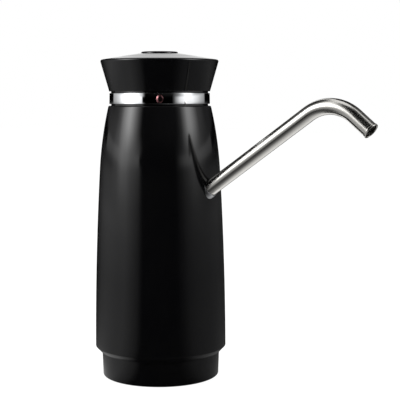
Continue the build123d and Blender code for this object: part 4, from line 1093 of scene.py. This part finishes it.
def tent():
    """Tent that only reflections show: two soft panels, brighter higher up, dark in front, open behind."""
    foot, ground = TENT_FLOOR
    thing = studio_strip("light_tent", (-TENT_OPENING, TENT_OPENING), 114, (
        (foot, ground), (TENT_RADIUS, ground), (TENT_RADIUS, TENT_HEIGHT), (TENT_ROOF_HOLE, TENT_HEIGHT)))
    material, tree = bare_tree("translucent_tent")
    place = add(tree, "ShaderNodeTexCoord").outputs["Object"]
    height = add(tree, "ShaderNodeSeparateXYZ", {"Vector": place}).outputs["Z"]
    tall = add(tree, "ShaderNodeMapRange", {"Value": height, "From Max": TENT_HEIGHT})
    panels = round_ramp(tree, place, LOW_PANELS)
    for stops, share in PANEL_SHARES:
        panels = add(tree, "ShaderNodeMix", {"Factor_Float": grey_ramp(tree, tall, share), "A_Color": panels,
                                             "B_Color": round_ramp(tree, place, stops)},
                     data_type="RGBA").outputs[2]
    level = add(tree, "ShaderNodeMath", {0: grey_ramp(tree, tall, PANEL_LEVELS), 1: TENT_STRENGTH},
                operation="MULTIPLY")
    glow = add(tree, "ShaderNodeEmission", {"Color": panels, "Strength": level})
    add(tree, "ShaderNodeOutputMaterial", {"Surface": glow})
    only_reflected(thing, material)


tent()


def floor_card():
    """Card on the floor under the spout, with a grid that lets its light only straight up to the tube."""
    thing = studio_strip("floor_card", CARD_SIDES, 76, [(reach, CARD_LEVEL) for reach in CARD_RADII])
    material, tree = bare_tree("gridded_card")
    place = add(tree, "ShaderNodeTexCoord").outputs["Object"]
    tilt = add(tree, "ShaderNodeLayerWeight", {"Blend": 0.5}).outputs["Facing"]
    grid = add(tree, "ShaderNodeMapRange", {"Value": tilt, "From Min": 0.6, "From Max": 0.35})
    glow = add(tree, "ShaderNodeEmission", {"Color": round_ramp(tree, place, CARD_PANELS), "Strength": 1.0})
    clear = add(tree, "ShaderNodeBsdfTransparent")
    mixed = add(tree, "ShaderNodeMixShader", {0: grid, 1: clear, 2: glow})
    add(tree, "ShaderNodeOutputMaterial", {"Surface": mixed})
    only_reflected(thing, material)


floor_card()


def seen_ray(tree):
    """1 on a ray that the eye sees, straight or by a mirror or glass, and 0 on light's way to a piece."""
    rays = add(tree, "ShaderNodeLightPath").outputs
    seen = rays["Is Camera Ray"]
    for other in ("Is Glossy Ray", "Is Transmission Ray"):
        seen = add(tree, "ShaderNodeMath", {0: seen, 1: rays[other]}, operation="MAXIMUM")
    return seen


def floor():
    """Pale floor: white to the eye, with a soft shadow under the object, and clear from below."""
    low, high = -FLOOR_HALF, FLOOR_HALF
    corners = [(x, y, FLOOR_LEVEL) for x, y in ((low, low), (high, low), (high, high), (low, high))]
    thing = built("floor", corners, [(0, 1, 2, 3)])
    material, tree = bare_tree("pale_paper_sweep")
    paper = add(tree, "ShaderNodeBsdfDiffuse", {"Color": linear("#e8e8e8")})
    half = add(tree, "ShaderNodeBsdfDiffuse", {"Color": linear("#959595")})
    glow = add(tree, "ShaderNodeEmission", {"Color": linear("#ffffff"), "Strength": 0.9})
    both = add(tree, "ShaderNodeAddShader", {0: half, 1: glow})
    mixed = add(tree, "ShaderNodeMixShader", {0: seen_ray(tree), 1: paper, 2: both})
    back = add(tree, "ShaderNodeNewGeometry").outputs["Backfacing"]
    clear = add(tree, "ShaderNodeBsdfTransparent")
    sided = add(tree, "ShaderNodeMixShader", {0: back, 1: mixed, 2: clear})
    add(tree, "ShaderNodeOutputMaterial", {"Surface": sided})
    thing.data.materials.append(material)


floor()


def world():
    """White studio: white behind the object, softer light on it."""
    place = bpy.data.worlds.new("white_studio")
    bpy.context.scene.world = place
    place.use_nodes = True
    tree = place.node_tree
    tree.nodes.clear()
    level = add(tree, "ShaderNodeMapRange", {"Value": seen_ray(tree), "To Min": 0.45, "To Max": 1.0})
    sky = add(tree, "ShaderNodeBackground", {"Color": linear("#ffffff"), "Strength": level})
    add(tree, "ShaderNodeOutputWorld", {"Surface": sky})


world()
bpy.context.scene.view_settings.view_transform = "Standard"
